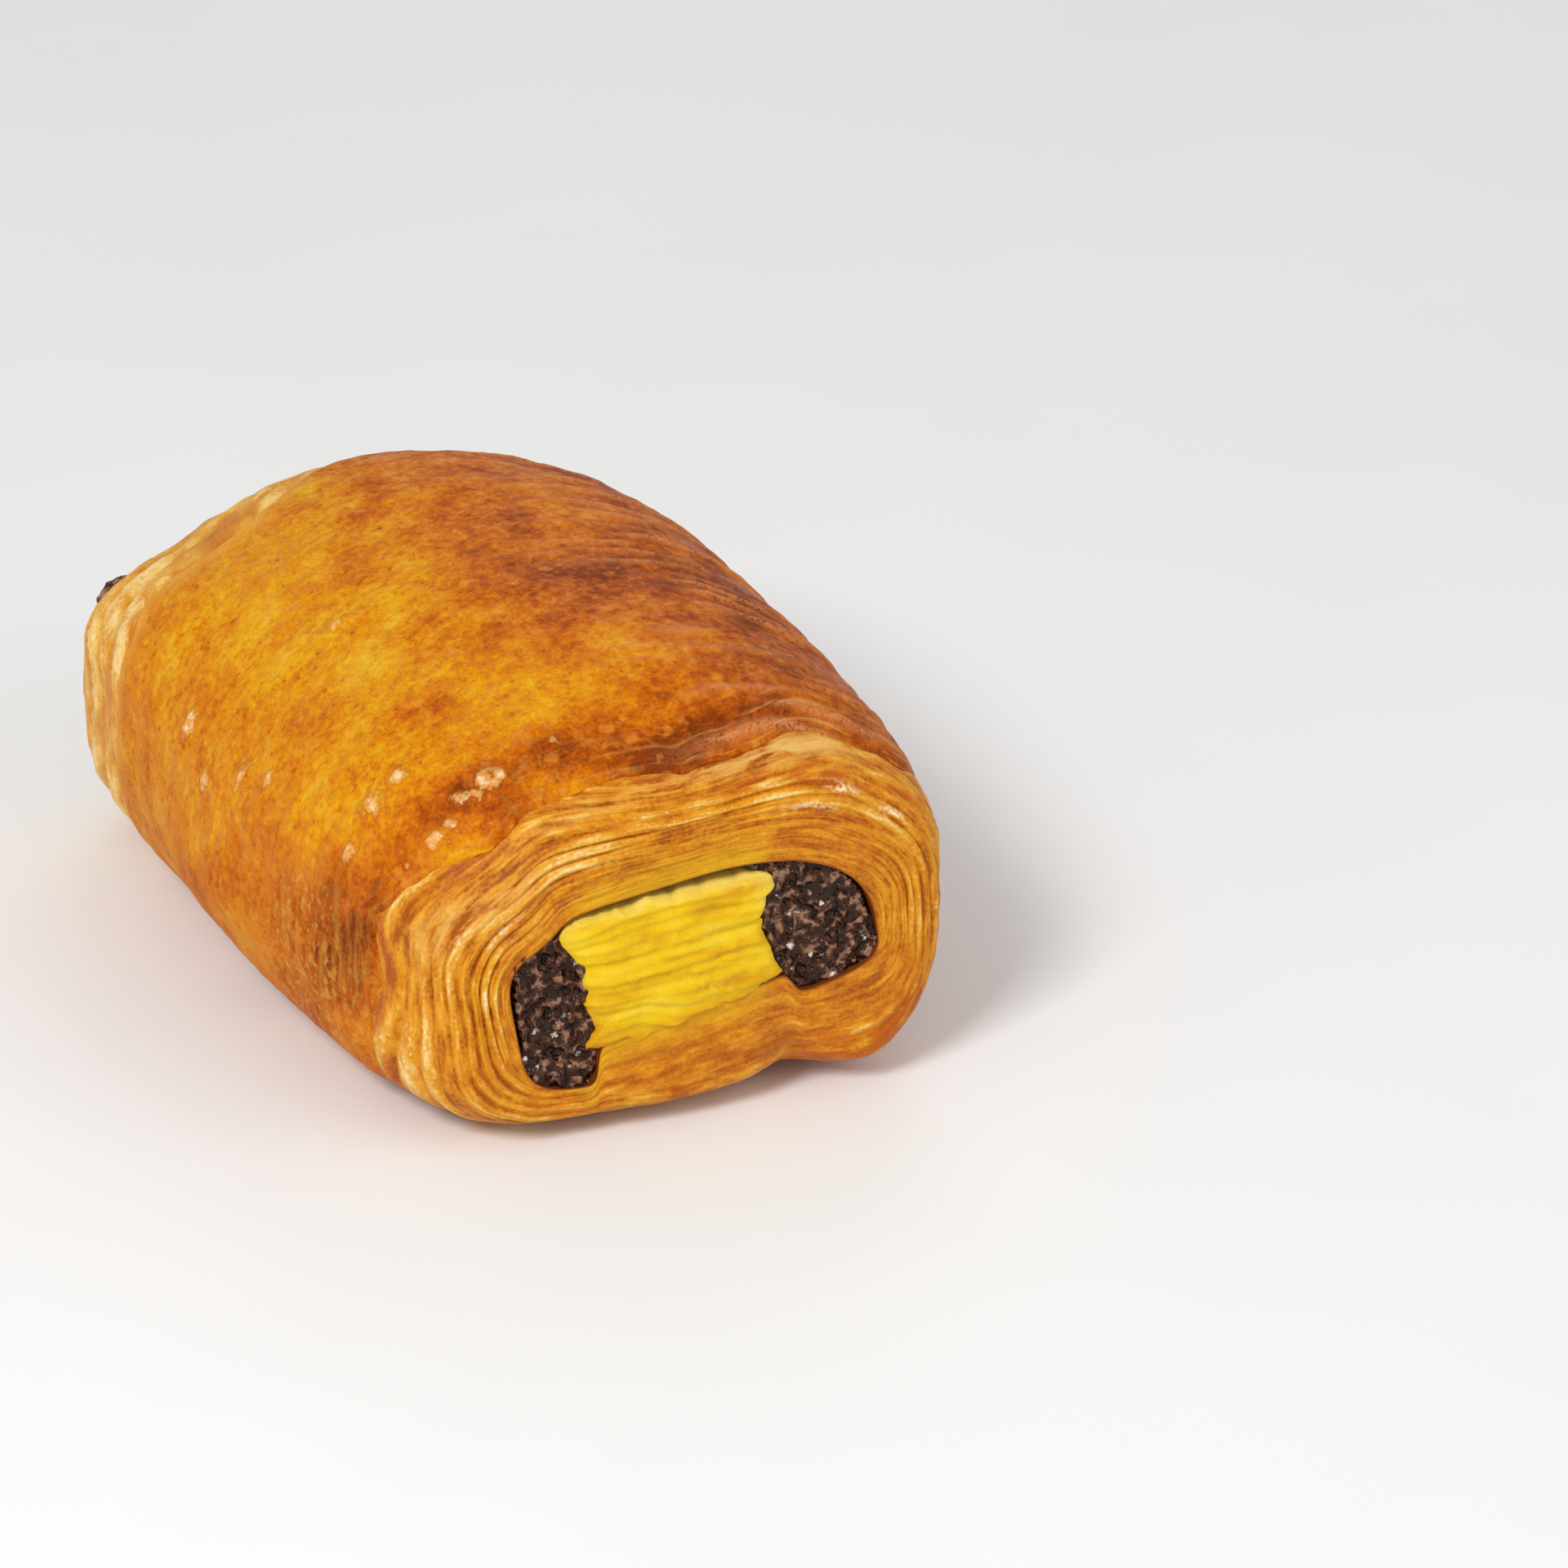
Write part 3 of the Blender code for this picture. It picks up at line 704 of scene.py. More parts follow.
def make_crust():
    """Outer rings from lip to lip, lifted by the relief, then inner rings back again, sunk a little."""
    ends = np.array([0.0, 0.0015, 0.004])
    share = np.concatenate([ends, np.linspace(0.008, 0.992, CRUST_RINGS - 6), 1 - ends[::-1]])[:, None]
    turn = NEAR_EDGE * (1 - share) + FAR_EDGE * share
    fill_angle = FILL_ANGLES * np.ones_like(turn)
    plain, _ = dough_place(fill_angle, turn)
    normal = outward_normals(plain)
    theta = section_angle(plain)
    steps = np.linalg.norm(np.diff(plain, axis=0), axis=2)
    from_near = np.concatenate([np.zeros((1, COLUMNS)), np.cumsum(steps, axis=0)])
    from_far = from_near[-1] - from_near
    lift, crest, zone, line_number = crust_relief(plain, theta, from_near)
    risen = np.clip(np.minimum(from_near, from_far) / LIP_REACH, 0, 1) ** 0.7
    lift = lift * risen - LIP_TUCK * (1 - risen)
    above_base = np.clip(plain[..., 2] / BASE_EDGE_HEIGHT, 0, 1)
    outer = plain + normal * (lift * above_base)[..., None]
    outer[..., 2] = np.maximum(outer[..., 2], 0)
    picks = np.linspace(len(share) - 1, 0, INNER_RINGS).astype(int)
    inner = plain[picks] - normal[picks] * CRUST_DEPTH
    inner[..., 2] = np.maximum(inner[..., 2], INNER_LOWEST)
    grid = np.concatenate([outer, inner])

    def both(held):
        return np.concatenate([held, held[picks]])

    on_left = step_up(theta, 125.0, 14.0) * step_up(theta, 250.0, -14.0)
    freckles = on_left * np.clip(0.3 + 1.2 * cloud(plain, 0.012, 74), 0, 1)
    values = {
        "bake": both(browning(plain, theta, from_near, from_far)),
        "crest": both(crest),
        "blister": both(zone),
        "line": both(line_number),
        "near_lip": both(beside_lip(theta, from_near)),
        "far_lip": both(bump(from_far, 0, 0.0022)),
        "side": both(bump(theta, 190.0, 24.0)),
        "freckles": both(freckles),
    }
    return make_piece("browned_crust", grid, True, values)


# %% [markdown]
# How brown the crust is follows the oven: golden on the upper left, deeper on the right, darkest in a broken
# band just before the near lip. The large patches are bells at chosen places, and clouds break them up. The
# value is stored on the points as bake, from 0 for pale gold to 1 for dark brown.

# %% How brown the crust is
# Patches: angle round the roll in degrees, Y in mm, reach in degrees and mm, and how much browner
PATCHES = (
    (79.0, 6.7, 6.0, 3.5, 0.20),
    (55.0, 2.5, 10.0, 4.0, 0.12),
    (62.0, -9.0, 10.0, 3.0, 0.16),
    (40.0, -21.5, 9.0, 4.0, 0.14),
    (98.0, -24.0, 7.0, 6.0, 0.14),
    (80.0, -43.0, 16.0, 2.6, -0.04),
    (108.0, -42.5, 14.0, 3.0, 0.17),
    (128.0, -40.5, 12.0, 3.0, 0.42),
    (148.0, -39.5, 10.0, 3.4, 0.50),
    (190.0, -34.0, 14.0, 8.0, 0.36),
    (196.0, -24.0, 12.0, 9.0, 0.20),
    (120.0, -12.0, 30.0, 9.0, -0.04),
    (77.0, -32.0, 14.0, 5.0, -0.12),
    (155.0, 20.0, 22.0, 12.0, -0.10),
    (120.0, -29.0, 14.0, 4.0, -0.08),
)


def browning(places, theta, from_near, from_far):
    """A slope from the golden left to the browner right, plus patches, a band near the lip and clouds."""
    bake = 0.44 + 0.28 * step_up(theta, 105.0, -18.0) + 0.07 * step_up(theta, 178.0, 10.0)
    bake = bake + 0.21 * step_up(theta, 215.0, 12.0) + 0.05 * bump(theta, 35.0, 16.0)
    for angle, y, turn_reach, y_reach, browner in PATCHES:
        patch = bump(turned_from(theta, angle), 0, turn_reach) * bump(places[..., 1], y / 1e3, y_reach / 1e3)
        bake = bake + browner * patch
    broken = 0.55 + 0.6 * cloud(places, 0.006, 71)
    to_left = step_up(theta, 60.0, 14.0) * step_up(theta, 160.0, -6.0)
    bake = bake + (0.08 + 0.34 * to_left) * broken * bump(from_near, 0.0020, 0.0045)
    return bake + 0.09 * cloud(places, 0.012, 72) + 0.09 * cloud(places, 0.005, 73)


crust = make_crust()
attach(crust, "root")
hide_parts("dough")

# %% [markdown]
# The filling is three bars that run through the roll. Each bar's outline is a smooth closed curve through a
# few given points, in the plane of the near end. The same curve is carried to the far end, and each end
# is closed by smaller and smaller copies of it, which follow a bulge and the bar's own grain.

# %% Bars of filling
# Outlines as (X, Z) in millimetres, anticlockwise
LEFT_STICK = (
    (-11.3, 8.6), (-9.7, 10.9), (-9.7, 14.3), (-11.0, 17.7), (-11.7, 22.0), (-13.2, 25.6), (-14.9, 28.1),
    (-18.0, 26.2), (-21.6, 24.9), (-21.0, 21.6), (-20.4, 16.0), (-20.5, 10.3), (-18.9, 8.0), (-15.3, 6.9),
    (-11.6, 6.5),
)
RIGHT_STICK = (
    (14.9, 14.1), (18.3, 13.4), (21.9, 14.9), (24.1, 17.2), (24.0, 20.2), (22.4, 24.8), (20.7, 27.6),
    (18.5, 29.8), (14.1, 31.4), (10.0, 31.9), (7.6, 31.9), (9.6, 30.3), (10.4, 28.3), (9.0, 25.1),
    (10.8, 18.8), (11.4, 15.7),
)
CUSTARD = (
    (-12.2, 12.0), (-3.6, 12.2), (1.8, 13.9), (6.8, 15.0), (11.6, 16.8), (11.0, 18.8), (9.4, 24.8),
    (11.4, 28.4), (9.6, 29.9), (4.3, 29.9), (-1.4, 29.5), (-8.0, 29.0), (-11.7, 28.4), (-15.2, 27.0),
    (-13.0, 22.0), (-12.2, 17.7), (-11.2, 14.3),
)
CUTS_PER_STRETCH = 40


def smooth_loop(points, count):
    """A curve through the points and back to the first (each stretch a cubic), cut into equal steps."""
    here = np.array(points)[None] / 1e3
    share = (np.arange(CUTS_PER_STRETCH) / CUTS_PER_STRETCH)[:, None, None]
    before, after, beyond = (np.roll(here, step, axis=1) for step in (1, -1, -2))
    fine = here + 0.5 * share * (after - before)
    fine = fine + 0.5 * share**2 * (2 * before - 5 * here + 4 * after - beyond)
    fine = fine + 0.5 * share**3 * (3 * here - before - 3 * after + beyond)
    fine = fine.transpose(1, 0, 2).reshape(-1, 2)
    closed = np.vstack([fine, fine[:1]])
    travelled = np.concatenate([[0.0], np.cumsum(np.linalg.norm(np.diff(closed, axis=0), axis=1))])
    wanted = np.arange(count) / count * travelled[-1]
    return np.stack([np.interp(wanted, travelled, closed[:, axis]) for axis in (0, 1)], axis=1)


def end_plane(x, z, end):
    """Y of the flat part of an end, which is slanted and, at the near end, leans back."""
    lean = END_LEAN * (z - FILL_Z) if end < 0 else 0
    return end * HALF_LENGTH + END_SLANT * x + lean


ROUNDED_FROM = 0.88


def make_bar(name, outline, stands_out, bulge, relief, rounding, rings):
    """Face rings shrink to the middle.

    A face lies stands_out in front of the end's plane, its middle by bulge more, and relief(places) adds
    grain. The last few rings fall back by rounding. Near and far ends have their own values.
    """
    middle = outline.mean(axis=0)
    share = np.sin(np.linspace(0.02, 1, rings) * np.pi / 2)[:, None, None]
    flat = middle + (outline - middle) * share

    def face(end, out, swell):
        x, z = flat[..., 0], flat[..., 1]
        places = np.stack([x, np.full_like(x, end * HALF_LENGTH), z], axis=-1)
        edge = share[..., 0]
        past = np.clip((edge - ROUNDED_FROM) / (1 - ROUNDED_FROM), 0, 1)
        dome = out + swell * (1 - edge**3) + relief(places) * (1 - past**2) - rounding * past**2.5
        places[..., 1] = end_plane(x, z, end) + end * dome
        return places

    near = face(-1, stands_out[0], bulge[0])
    far = face(1, stands_out[1], bulge[1])[::-1]
    along = np.linspace(0, 1, 8)[1:-1, None, None]
    sides = near[-1] * (1 - along) + far[0] * along
    grid = np.concatenate([near, sides, far])
    depth = np.concatenate([share[:, 0, 0], np.ones(len(sides)), share[::-1, 0, 0]])[:, None]
    height = (grid[..., 2] - outline[:, 1].min()) / np.ptp(outline[:, 1])
    return make_piece(name, grid, False, {"edge": depth * np.ones(grid.shape[:2]), "height": height})


def crumbled(outline):
    """A bar's outline, moved about by clouds so that its edge is uneven; bars that touch move together."""
    places = np.stack([outline[:, 0], np.zeros(len(outline)), outline[:, 1]], axis=-1)
    across = 0.00030 * cloud(places, 0.0021, 87) + 0.00016 * cloud(places, 0.0008, 88)
    up = 0.00030 * cloud(places, 0.0021, 89) + 0.00016 * cloud(places, 0.0008, 90)
    return outline + np.stack([across, up], axis=-1)


def chocolate_crags(places):
    """Crags of baked chocolate at three sizes."""
    coarse = 0.00040 * cloud(places, 0.0024, 81) + 0.00055 * cloud(places, 0.0013, 82)
    return coarse + 0.00020 * cloud(places, 0.0006, 83)


def custard_folds(places):
    """Folds across the custard, one above the other and nearly level, bent by a cloud, with a fine grain."""
    bent = 0.0014 * cloud(places, 0.007, 84)
    level = places[..., 2] - 0.10 * places[..., 0] + bent
    uneven = np.clip(0.6 + 0.7 * cloud(places, 0.006, 91), 0.1, 1.3)
    folds = 0.00032 * uneven * np.sin(2 * np.pi * level / 0.0034)
    folds = folds + 0.00010 * np.sin(2 * np.pi * level / 0.0014 + 1.0)
    lumps = 0.00036 * cloud(places, 0.0050, 85) + 0.00014 * cloud(places, 0.0014, 86)
    return folds + lumps


FACE_ROUNDING = 0.0005
# How far the near and far faces stand out, how far they bulge, their grain, their rounding and their rings
STICK_FACES = ((-0.0005, -0.0008), (0.0, 0.0004), chocolate_crags, FACE_ROUNDING, 52)
CUSTARD_FACES = ((0.0002, -0.0010), (0.0006, 0.0003), custard_folds, FACE_ROUNDING, 60)

left_stick = make_bar("left_chocolate", crumbled(smooth_loop(LEFT_STICK, 260)), *STICK_FACES)
right_stick = make_bar("right_chocolate", crumbled(smooth_loop(RIGHT_STICK, 260)), *STICK_FACES)
custard = make_bar("custard_filling", crumbled(smooth_loop(CUSTARD, 300)), *CUSTARD_FACES)
for piece, finish, node in (
    (left_stick, "chocolate", "chocolate_stick_left"),
    (right_stick, "chocolate", "chocolate_stick_right"),
    (custard, "custard", "custard"),
):
    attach(piece, "root")
    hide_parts(node)

# %% [markdown]
# A small bit of chocolate has baked onto the far left rim. It is a short lumpy bar on a curve through three
# points of the dough, those nearest to three chosen places, so that half of it is sunk in.

# %% A crumb of chocolate
# Places in millimetres
CRUMB_PLACES = ((-34.0, 50.4, 30.0), (-32.2, 51.0, 31.8), (-30.4, 50.0, 33.6))
CRUMB_RADIUS = 0.0008
CRUMB_RINGS = 30
CRUMB_COLUMNS = 24


def nearest_on(piece, place):
    """The piece's own point that is nearest to a place in millimetres."""
    points = np.zeros(len(piece.data.vertices) * 3)
    piece.data.vertices.foreach_get("co", points)
    points = points.reshape(-1, 3)
    return points[np.linalg.norm(points - np.array(place) / 1e3, axis=1).argmin()]


def make_crumb():
    """Rings round a parabola through the places; their radius follows an ellipse, shaken by a cloud."""
    first, middle, last = (nearest_on(dough, place) for place in CRUMB_PLACES)
    print("the crumb lies from", np.round(first * 1e3, 1), "to", np.round(last * 1e3, 1), "mm")
    share = 0.5 + 0.499 * np.sin(np.linspace(-0.95, 0.95, CRUMB_RINGS) * np.pi / 2)[:, None]
    path = first * (1 - share) * (1 - 2 * share) + middle * 4 * share * (1 - share)
    path = path + last * share * (2 * share - 1)
    along = np.gradient(path, axis=0)
    along /= np.linalg.norm(along, axis=1, keepdims=True)
    across = np.cross(along, (0.0, 0.0, 1.0))
    across /= np.linalg.norm(across, axis=1, keepdims=True)
    up = np.cross(across, along)
    angle = (np.arange(CRUMB_COLUMNS) / CRUMB_COLUMNS * 2 * np.pi)[None, :, None]
    outward = across[:, None] * np.cos(angle) + up[:, None] * np.sin(angle)
    radius = CRUMB_RADIUS * np.sqrt(4 * share * (1 - share))[:, None]
    even = path[:, None] + outward * radius
    lumpy = 1 + 0.35 * cloud(even, 0.0012, 95)[..., None] + 0.15 * cloud(even, 0.0005, 96)[..., None]
    return make_piece("chocolate_crumb", path[:, None] + outward * radius * lumpy, False, {})


crumb = make_crumb()
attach(crumb, "root")

# %% [markdown]
# The finishes are node trees. Helpers keep them short: they add a node with its settings, turn a screen's
# colour into Blender's, do sums, draw noise and cells, and lay tints over a colour. Noise at three sizes is
# needed by every finish, so it is a group, built once, that puts out the sum and its fine part.

# %% Helpers for finishes
def shade(red, green, blue):
    """A colour given as a screen shows it, 0 to 255, as the linear values that Blender works with."""
    value = np.array([red, green, blue]) / 255
    linear = np.where(value <= 0.04045, value / 12.92, ((value + 0.055) / 1.055) ** 2.4)
    return (*linear.tolist(), 1.0)


def add(tree, kind, inputs=None, **settings):
    """Adds a node, sets its properties, and gives each named input a value or the socket that feeds it."""
    node = tree.nodes.new(kind)
    for key, value in settings.items():
        setattr(node, key, value)
    for key, value in (inputs or {}).items():
        if isinstance(value, bpy.types.NodeSocket):
            tree.links.new(value, node.inputs[key])
        else:
            node.inputs[key].default_value = value
    return node


def stored(tree, key):
    """The value that a piece's points hold under that name."""
    return add(tree, "ShaderNodeAttribute", attribute_name=key).outputs["Fac"]


def reckon(tree, operation, first, second=0.0, third=0.0):
    """One sum of two or three numbers."""
    return add(tree, "ShaderNodeMath", {0: first, 1: second, 2: third}, operation=operation).outputs[0]


def times(tree, first, second):
    """first * second."""
    return reckon(tree, "MULTIPLY", first, second)


def plus(tree, base, value, weight):
    """base + value * weight."""
    return reckon(tree, "MULTIPLY_ADD", value, weight, base)


def shaken(tree, base, pattern, weight):
    """base + (pattern - 0.5) * weight, so that the pattern pushes both ways."""
    return plus(tree, base, reckon(tree, "SUBTRACT", pattern, 0.5), weight)


def blend(tree, share, first, second):
    """Mixes two colours by a share."""
    node = add(tree, "ShaderNodeMix", data_type="RGBA")
    for index, value in ((0, share), (6, first), (7, second)):
        if isinstance(value, bpy.types.NodeSocket):
            tree.links.new(value, node.inputs[index])
        else:
            node.inputs[index].default_value = value
    return node.outputs[2]


def ramp(tree, share, stops):
    """A colour that changes with a number, through stops of place and colour."""
    node = add(tree, "ShaderNodeValToRGB", {"Fac": share})
    elements = node.color_ramp.elements
    while len(elements) < len(stops):
        elements.new(0.5)
    for element, (place, colour) in zip(elements, stops):
        element.position = place
        element.color = colour
    return node.outputs["Color"]


def rise(tree, value, low, high):
    """0 below low, 1 above high, and a straight slope between."""
    node = add(tree, "ShaderNodeMapRange", {"Value": value, "From Min": low, "From Max": high})
    return node.outputs["Result"]


def noise(tree, vector, scale, detail, roughness=0.5):
    """Blender's noise at a place, from 0 to 1."""
    inputs = {"Vector": vector, "Scale": scale, "Detail": detail, "Roughness": roughness}
    return add(tree, "ShaderNodeTexNoise", inputs).outputs["Fac"]


def cells(tree, vector, scale):
    """The distance to the nearest cell's point, and a number drawn for that cell."""
    pattern = add(tree, "ShaderNodeTexVoronoi", {"Vector": vector, "Scale": scale})
    drawn = add(tree, "ShaderNodeSeparateColor", {"Color": pattern.outputs["Color"]}).outputs["Red"]
    return pattern.outputs["Distance"], drawn


def lay_over(tree, colour, *tints):
    """Lays tints over a colour one after another, each by its amount where its mask is 1."""
    for mask, amount, tint in tints:
        colour = blend(tree, times(tree, mask, amount), colour, shade(*tint))
    return colour


def raise_by(tree, shader, height, strength, distance):
    """Feeds a height through a Bump node to the shader's normal."""
    bumped = add(tree, "ShaderNodeBump", {"Height": height, "Strength": strength, "Distance": distance})
    tree.links.new(bumped.outputs["Normal"], shader.inputs["Normal"])


def make_mottle_group():
    """Three sizes of noise added up, coarse, middle and fine, from 0 to 1 about a half."""
    group = bpy.data.node_groups.new("baked_mottle", "ShaderNodeTree")
    group.interface.new_socket("Vector", in_out="INPUT", socket_type="NodeSocketVector")
    group.interface.new_socket("Scale", in_out="INPUT", socket_type="NodeSocketFloat")
    group.interface.new_socket("Value", in_out="OUTPUT", socket_type="NodeSocketFloat")
    group.interface.new_socket("Fine", in_out="OUTPUT", socket_type="NodeSocketFloat")
    source = group.nodes.new("NodeGroupInput")
    target = group.nodes.new("NodeGroupOutput")
    parts = []
    for finer, share in ((1.0, 0.45), (3.3, 0.33), (11.0, 0.22)):
        scale = times(group, source.outputs["Scale"], finer)
        parts.append((noise(group, source.outputs["Vector"], scale, 2.0), share))
    total = times(group, *parts[0])
    for value, share in parts[1:]:
        total = plus(group, total, value, share)
    group.links.new(total, target.inputs["Value"])
    group.links.new(parts[2][0], target.inputs["Fine"])
    return group


def mottle(tree, vector, scale):
    """The group's noise at that scale, and its fine part alone."""
    node = add(tree, "ShaderNodeGroup", node_tree=MOTTLE)
    tree.links.new(vector, node.inputs["Vector"])
    node.inputs["Scale"].default_value = scale
    return node.outputs["Value"], node.outputs["Fine"]


def stretched(tree, x, y, z):
    """The place on the object with each axis scaled; a pattern runs long where the scale is small."""
    place = add(tree, "ShaderNodeTexCoord").outputs["Object"]
    return add(tree, "ShaderNodeMapping", {"Vector": place, "Scale": (x, y, z)}).outputs["Vector"]


def new_finish(name, roughness, **constants):
    """A material with its shader, whose steady values are set on the shader's own sockets."""
    material = bpy.data.materials.new(name)
    material.use_nodes = True
    shader = material.node_tree.nodes["Principled BSDF"]
    shader.inputs["Roughness"].default_value = roughness
    for key, value in constants.items():
        shader.inputs[key.replace("_", " ")].default_value = value
    return material, material.node_tree, shader


MOTTLE = make_mottle_group()
print("group", MOTTLE.name, "has", len(MOTTLE.nodes), "nodes")

# %% [markdown]
# The crust is coloured by its stored bake value, shaken by noise, through a ramp from pale gold over orange
# to dark brown. Stretch marks run round the roll as streaks, blisters are pale with a painted highlight in
# the middle, the left side is rosy and dull, and an egg glaze gives the top its soft shine.

# %% Finish of the crust
BAKED_COLOURS = (
    (0.05, shade(228, 180, 58)),
    (0.24, shade(222, 160, 16)),
    (0.42, shade(213, 135, 10)),
    (0.56, shade(203, 113, 8)),
    (0.70, shade(186, 91, 8)),
    (0.84, shade(158, 70, 8)),
    (1.0, shade(116, 46, 8)),
)


def strokes(tree, number_key, per_line, per_metre):
    """Noise drawn out along lines: fine across a stored line number, long in X and Z."""
    split = add(tree, "ShaderNodeSeparateXYZ", {"Vector": stretched(tree, 1, 1, 1)})
    x = times(tree, split.outputs["X"], per_metre)
    y = times(tree, stored(tree, number_key), per_line)
    z = times(tree, split.outputs["Z"], per_metre)
    drawn = add(tree, "ShaderNodeCombineXYZ", {"X": x, "Y": y, "Z": z}).outputs["Vector"]
    return noise(tree, drawn, 1.0, 3.0, 0.55)


def crust_finish():
    """Baked colours, then spots, freckles, lines, stretch marks, pits and blisters over them."""
    material, tree, shader = new_finish(
        "crust",
        0.42,
        Subsurface_Weight=0.05,
        Subsurface_Scale=0.002,
        Coat_Roughness=0.2,
        Specular_IOR_Level=0.07,
        Specular_Tint=(1.0, 0.72, 0.36, 1.0),
    )
    place = stretched(tree, 1, 1, 1)
    coarse, fine = mottle(tree, place, 210.0)
    _, middling = mottle(tree, place, 80.0)
    streak = noise(tree, stretched(tree, 110, 800, 110), 1.0, 3.0)
    side = stored(tree, "side")
    bake = shaken(tree, stored(tree, "bake"), coarse, 1.15)
    bake = shaken(tree, bake, streak, plus(tree, 0.08, side, 0.16))
    bake = shaken(tree, shaken(tree, bake, fine, 0.20), middling, 0.55)
    away, drawn = cells(tree, place, 430.0)
    spot = rise(tree, plus(tree, away, middling, 0.9), 0.86, 0.66)
    line, near_lip = strokes(tree, "line", 1.6, 100.0), stored(tree, "near_lip")
    pit, _ = cells(tree, place, 600.0)
    ragged = shaken(tree, shaken(tree, stored(tree, "blister"), middling, 1.6), fine, 0.9)
    blister = rise(tree, ragged, 0.50, 0.74)
    colour = lay_over(
        tree,
        ramp(tree, bake, BAKED_COLOURS),
        # Pale and dark spots
        (times(tree, spot, rise(tree, drawn, 0.66, 0.76)), 0.34, (222, 144, 52)),
        (times(tree, spot, rise(tree, drawn, 0.30, 0.20)), 0.32, (176, 84, 8)),
        # The rosy side and its freckles
        (times(tree, side, rise(tree, streak, 0.42, 0.62)), 0.6, (206, 126, 44)),
        (times(tree, stored(tree, "freckles"), rise(tree, middling, 0.52, 0.66)), 0.5, (226, 168, 70)),
        # Dark and pale lines beside the near lip
        (times(tree, rise(tree, line, 0.46, 0.36), near_lip), 0.5, (158, 66, 10)),
        (times(tree, rise(tree, line, 0.55, 0.66), near_lip), 0.6, (226, 162, 84)),
        # Stretch marks and pits
        (times(tree, stored(tree, "crest"), rise(tree, fine, 0.36, 0.52)), 0.7, (220, 150, 98)),
        (times(tree, rise(tree, pit, 0.28, 0.12), rise(tree, coarse, 0.49, 0.56)), 0.6, (148, 68, 8)),
        # A blister's rim, its skin, and its bright middle, which is a painted highlight
        (times(tree, rise(tree, ragged, 0.22, 0.42), rise(tree, ragged, 0.66, 0.48)), 0.3, (176, 82, 12)),
        (blister, 0.62, (234, 176, 92)),
        (rise(tree, ragged, 0.92, 1.12), 0.62, (248, 222, 182)),
        # The far lip
        (stored(tree, "far_lip"), 0.6, (228, 162, 62)),
    )
    tree.links.new(colour, shader.inputs["Base Color"])
    rough = plus(tree, plus(tree, 0.2, coarse, 0.5), side, 0.15)
    tree.links.new(rough, shader.inputs["Roughness"])
    glaze = times(tree, rise(tree, coarse, 0.48, 0.38), 0.06)
    tree.links.new(plus(tree, glaze, blister, 0.5), shader.inputs["Coat Weight"])
    height = plus(tree, plus(tree, times(tree, fine, 0.6), streak, 0.5), coarse, 0.8)
    height = plus(tree, height, times(tree, line, near_lip), 1.4)
    raise_by(tree, shader, plus(tree, height, blister, 0.5), 0.5, 0.0006)
    return material


crust.data.materials.append(crust_finish())
print("crust finished")

# %% [markdown]
# The cut layers are paler than the crust, because the glaze never reached them. The colour follows the
# ridges: cream on the crests, golden orange on the flanks and dark in the creases, which is painted shade.
# Streaks run along the layers, made by noise that is fine across the layer number and long round the roll.

# %% Finish of the flaky layers
LAYER_COLOURS = (
    (0.08, shade(158, 80, 8)),
    (0.28, shade(198, 118, 12)),
    (0.46, shade(216, 143, 22)),
    (0.60, shade(222, 158, 42)),
    (0.76, shade(232, 184, 92)),
    (1.0, shade(242, 210, 146)),
)


def layers_finish():
    """A tone from ridges and strokes picks the colour; toasted, pale, white and yellow patches go over it."""
    material, tree, shader = new_finish(
        "flaky_layers", 0.5, Subsurface_Weight=0.08, Subsurface_Scale=0.002, Specular_IOR_Level=0.18
    )
    coarse, fine = mottle(tree, stretched(tree, 1, 1, 1), 180.0)
    stroke = strokes(tree, "layer", 1.8, 220.0)
    hair = strokes(tree, "layer", 5.0, 340.0)
    ridge, pale = stored(tree, "ridge"), stored(tree, "pale")
    lined = plus(tree, 0.45, stored(tree, "lined"), 0.60)
    drawn = plus(tree, shaken(tree, -0.675, hair, 0.45), stroke, 1.35)
    # The ridge lightens the crests and darkens the creases; the creases' darkness is painted shade
    tone = plus(tree, plus(tree, 0.24, ridge, 0.50), drawn, lined)
    tone = shaken(tree, shaken(tree, tone, coarse, 0.80), fine, 0.30)
    tone = plus(tree, tone, stored(tree, "far"), 0.20)
    white = times(tree, stored(tree, "white"), rise(tree, stroke, 0.42, 0.54))
    brown = times(tree, rise(tree, stored(tree, "share"), 0.80, 1.0), rise(tree, stroke, 0.56, 0.40))
    colour = lay_over(
        tree,
        ramp(tree, tone, LAYER_COLOURS),
        # Toasted and pale patches, and white ones that are painted highlights on flake tips
        (times(tree, stored(tree, "toast"), rise(tree, stroke, 0.62, 0.42)), 0.75, (190, 92, 10)),
        (times(tree, pale, rise(tree, stroke, 0.38, 0.56)), 0.75, (224, 176, 100)),
        (times(tree, white, rise(tree, fine, 0.42, 0.56)), 0.85, (250, 230, 206)),
        # Brown beside the crust, except where pale, and glints on the ridges
        (times(tree, brown, rise(tree, pale, 0.6, 0.1)), 0.45, (184, 86, 10)),
        (times(tree, rise(tree, ridge, 0.45, 0.85), rise(tree, fine, 0.58, 0.68)), 0.55, (246, 226, 188)),
        # Custard's stain round the filling, and painted shade inside the hole and round its mouth
        (stored(tree, "stain"), 0.65, (226, 176, 20)),
        (stored(tree, "inside"), 1.0, (118, 54, 8)),
    )
    tree.links.new(colour, shader.inputs["Base Color"])
    tree.links.new(plus(tree, 0.25, coarse, 0.4), shader.inputs["Roughness"])
    height = plus(tree, plus(tree, times(tree, fine, 0.35), stroke, 1.0), hair, 0.5)
    raise_by(tree, shader, height, 0.6, 0.0006)
    return material


dough.data.materials.append(layers_finish())
print("layers finished")
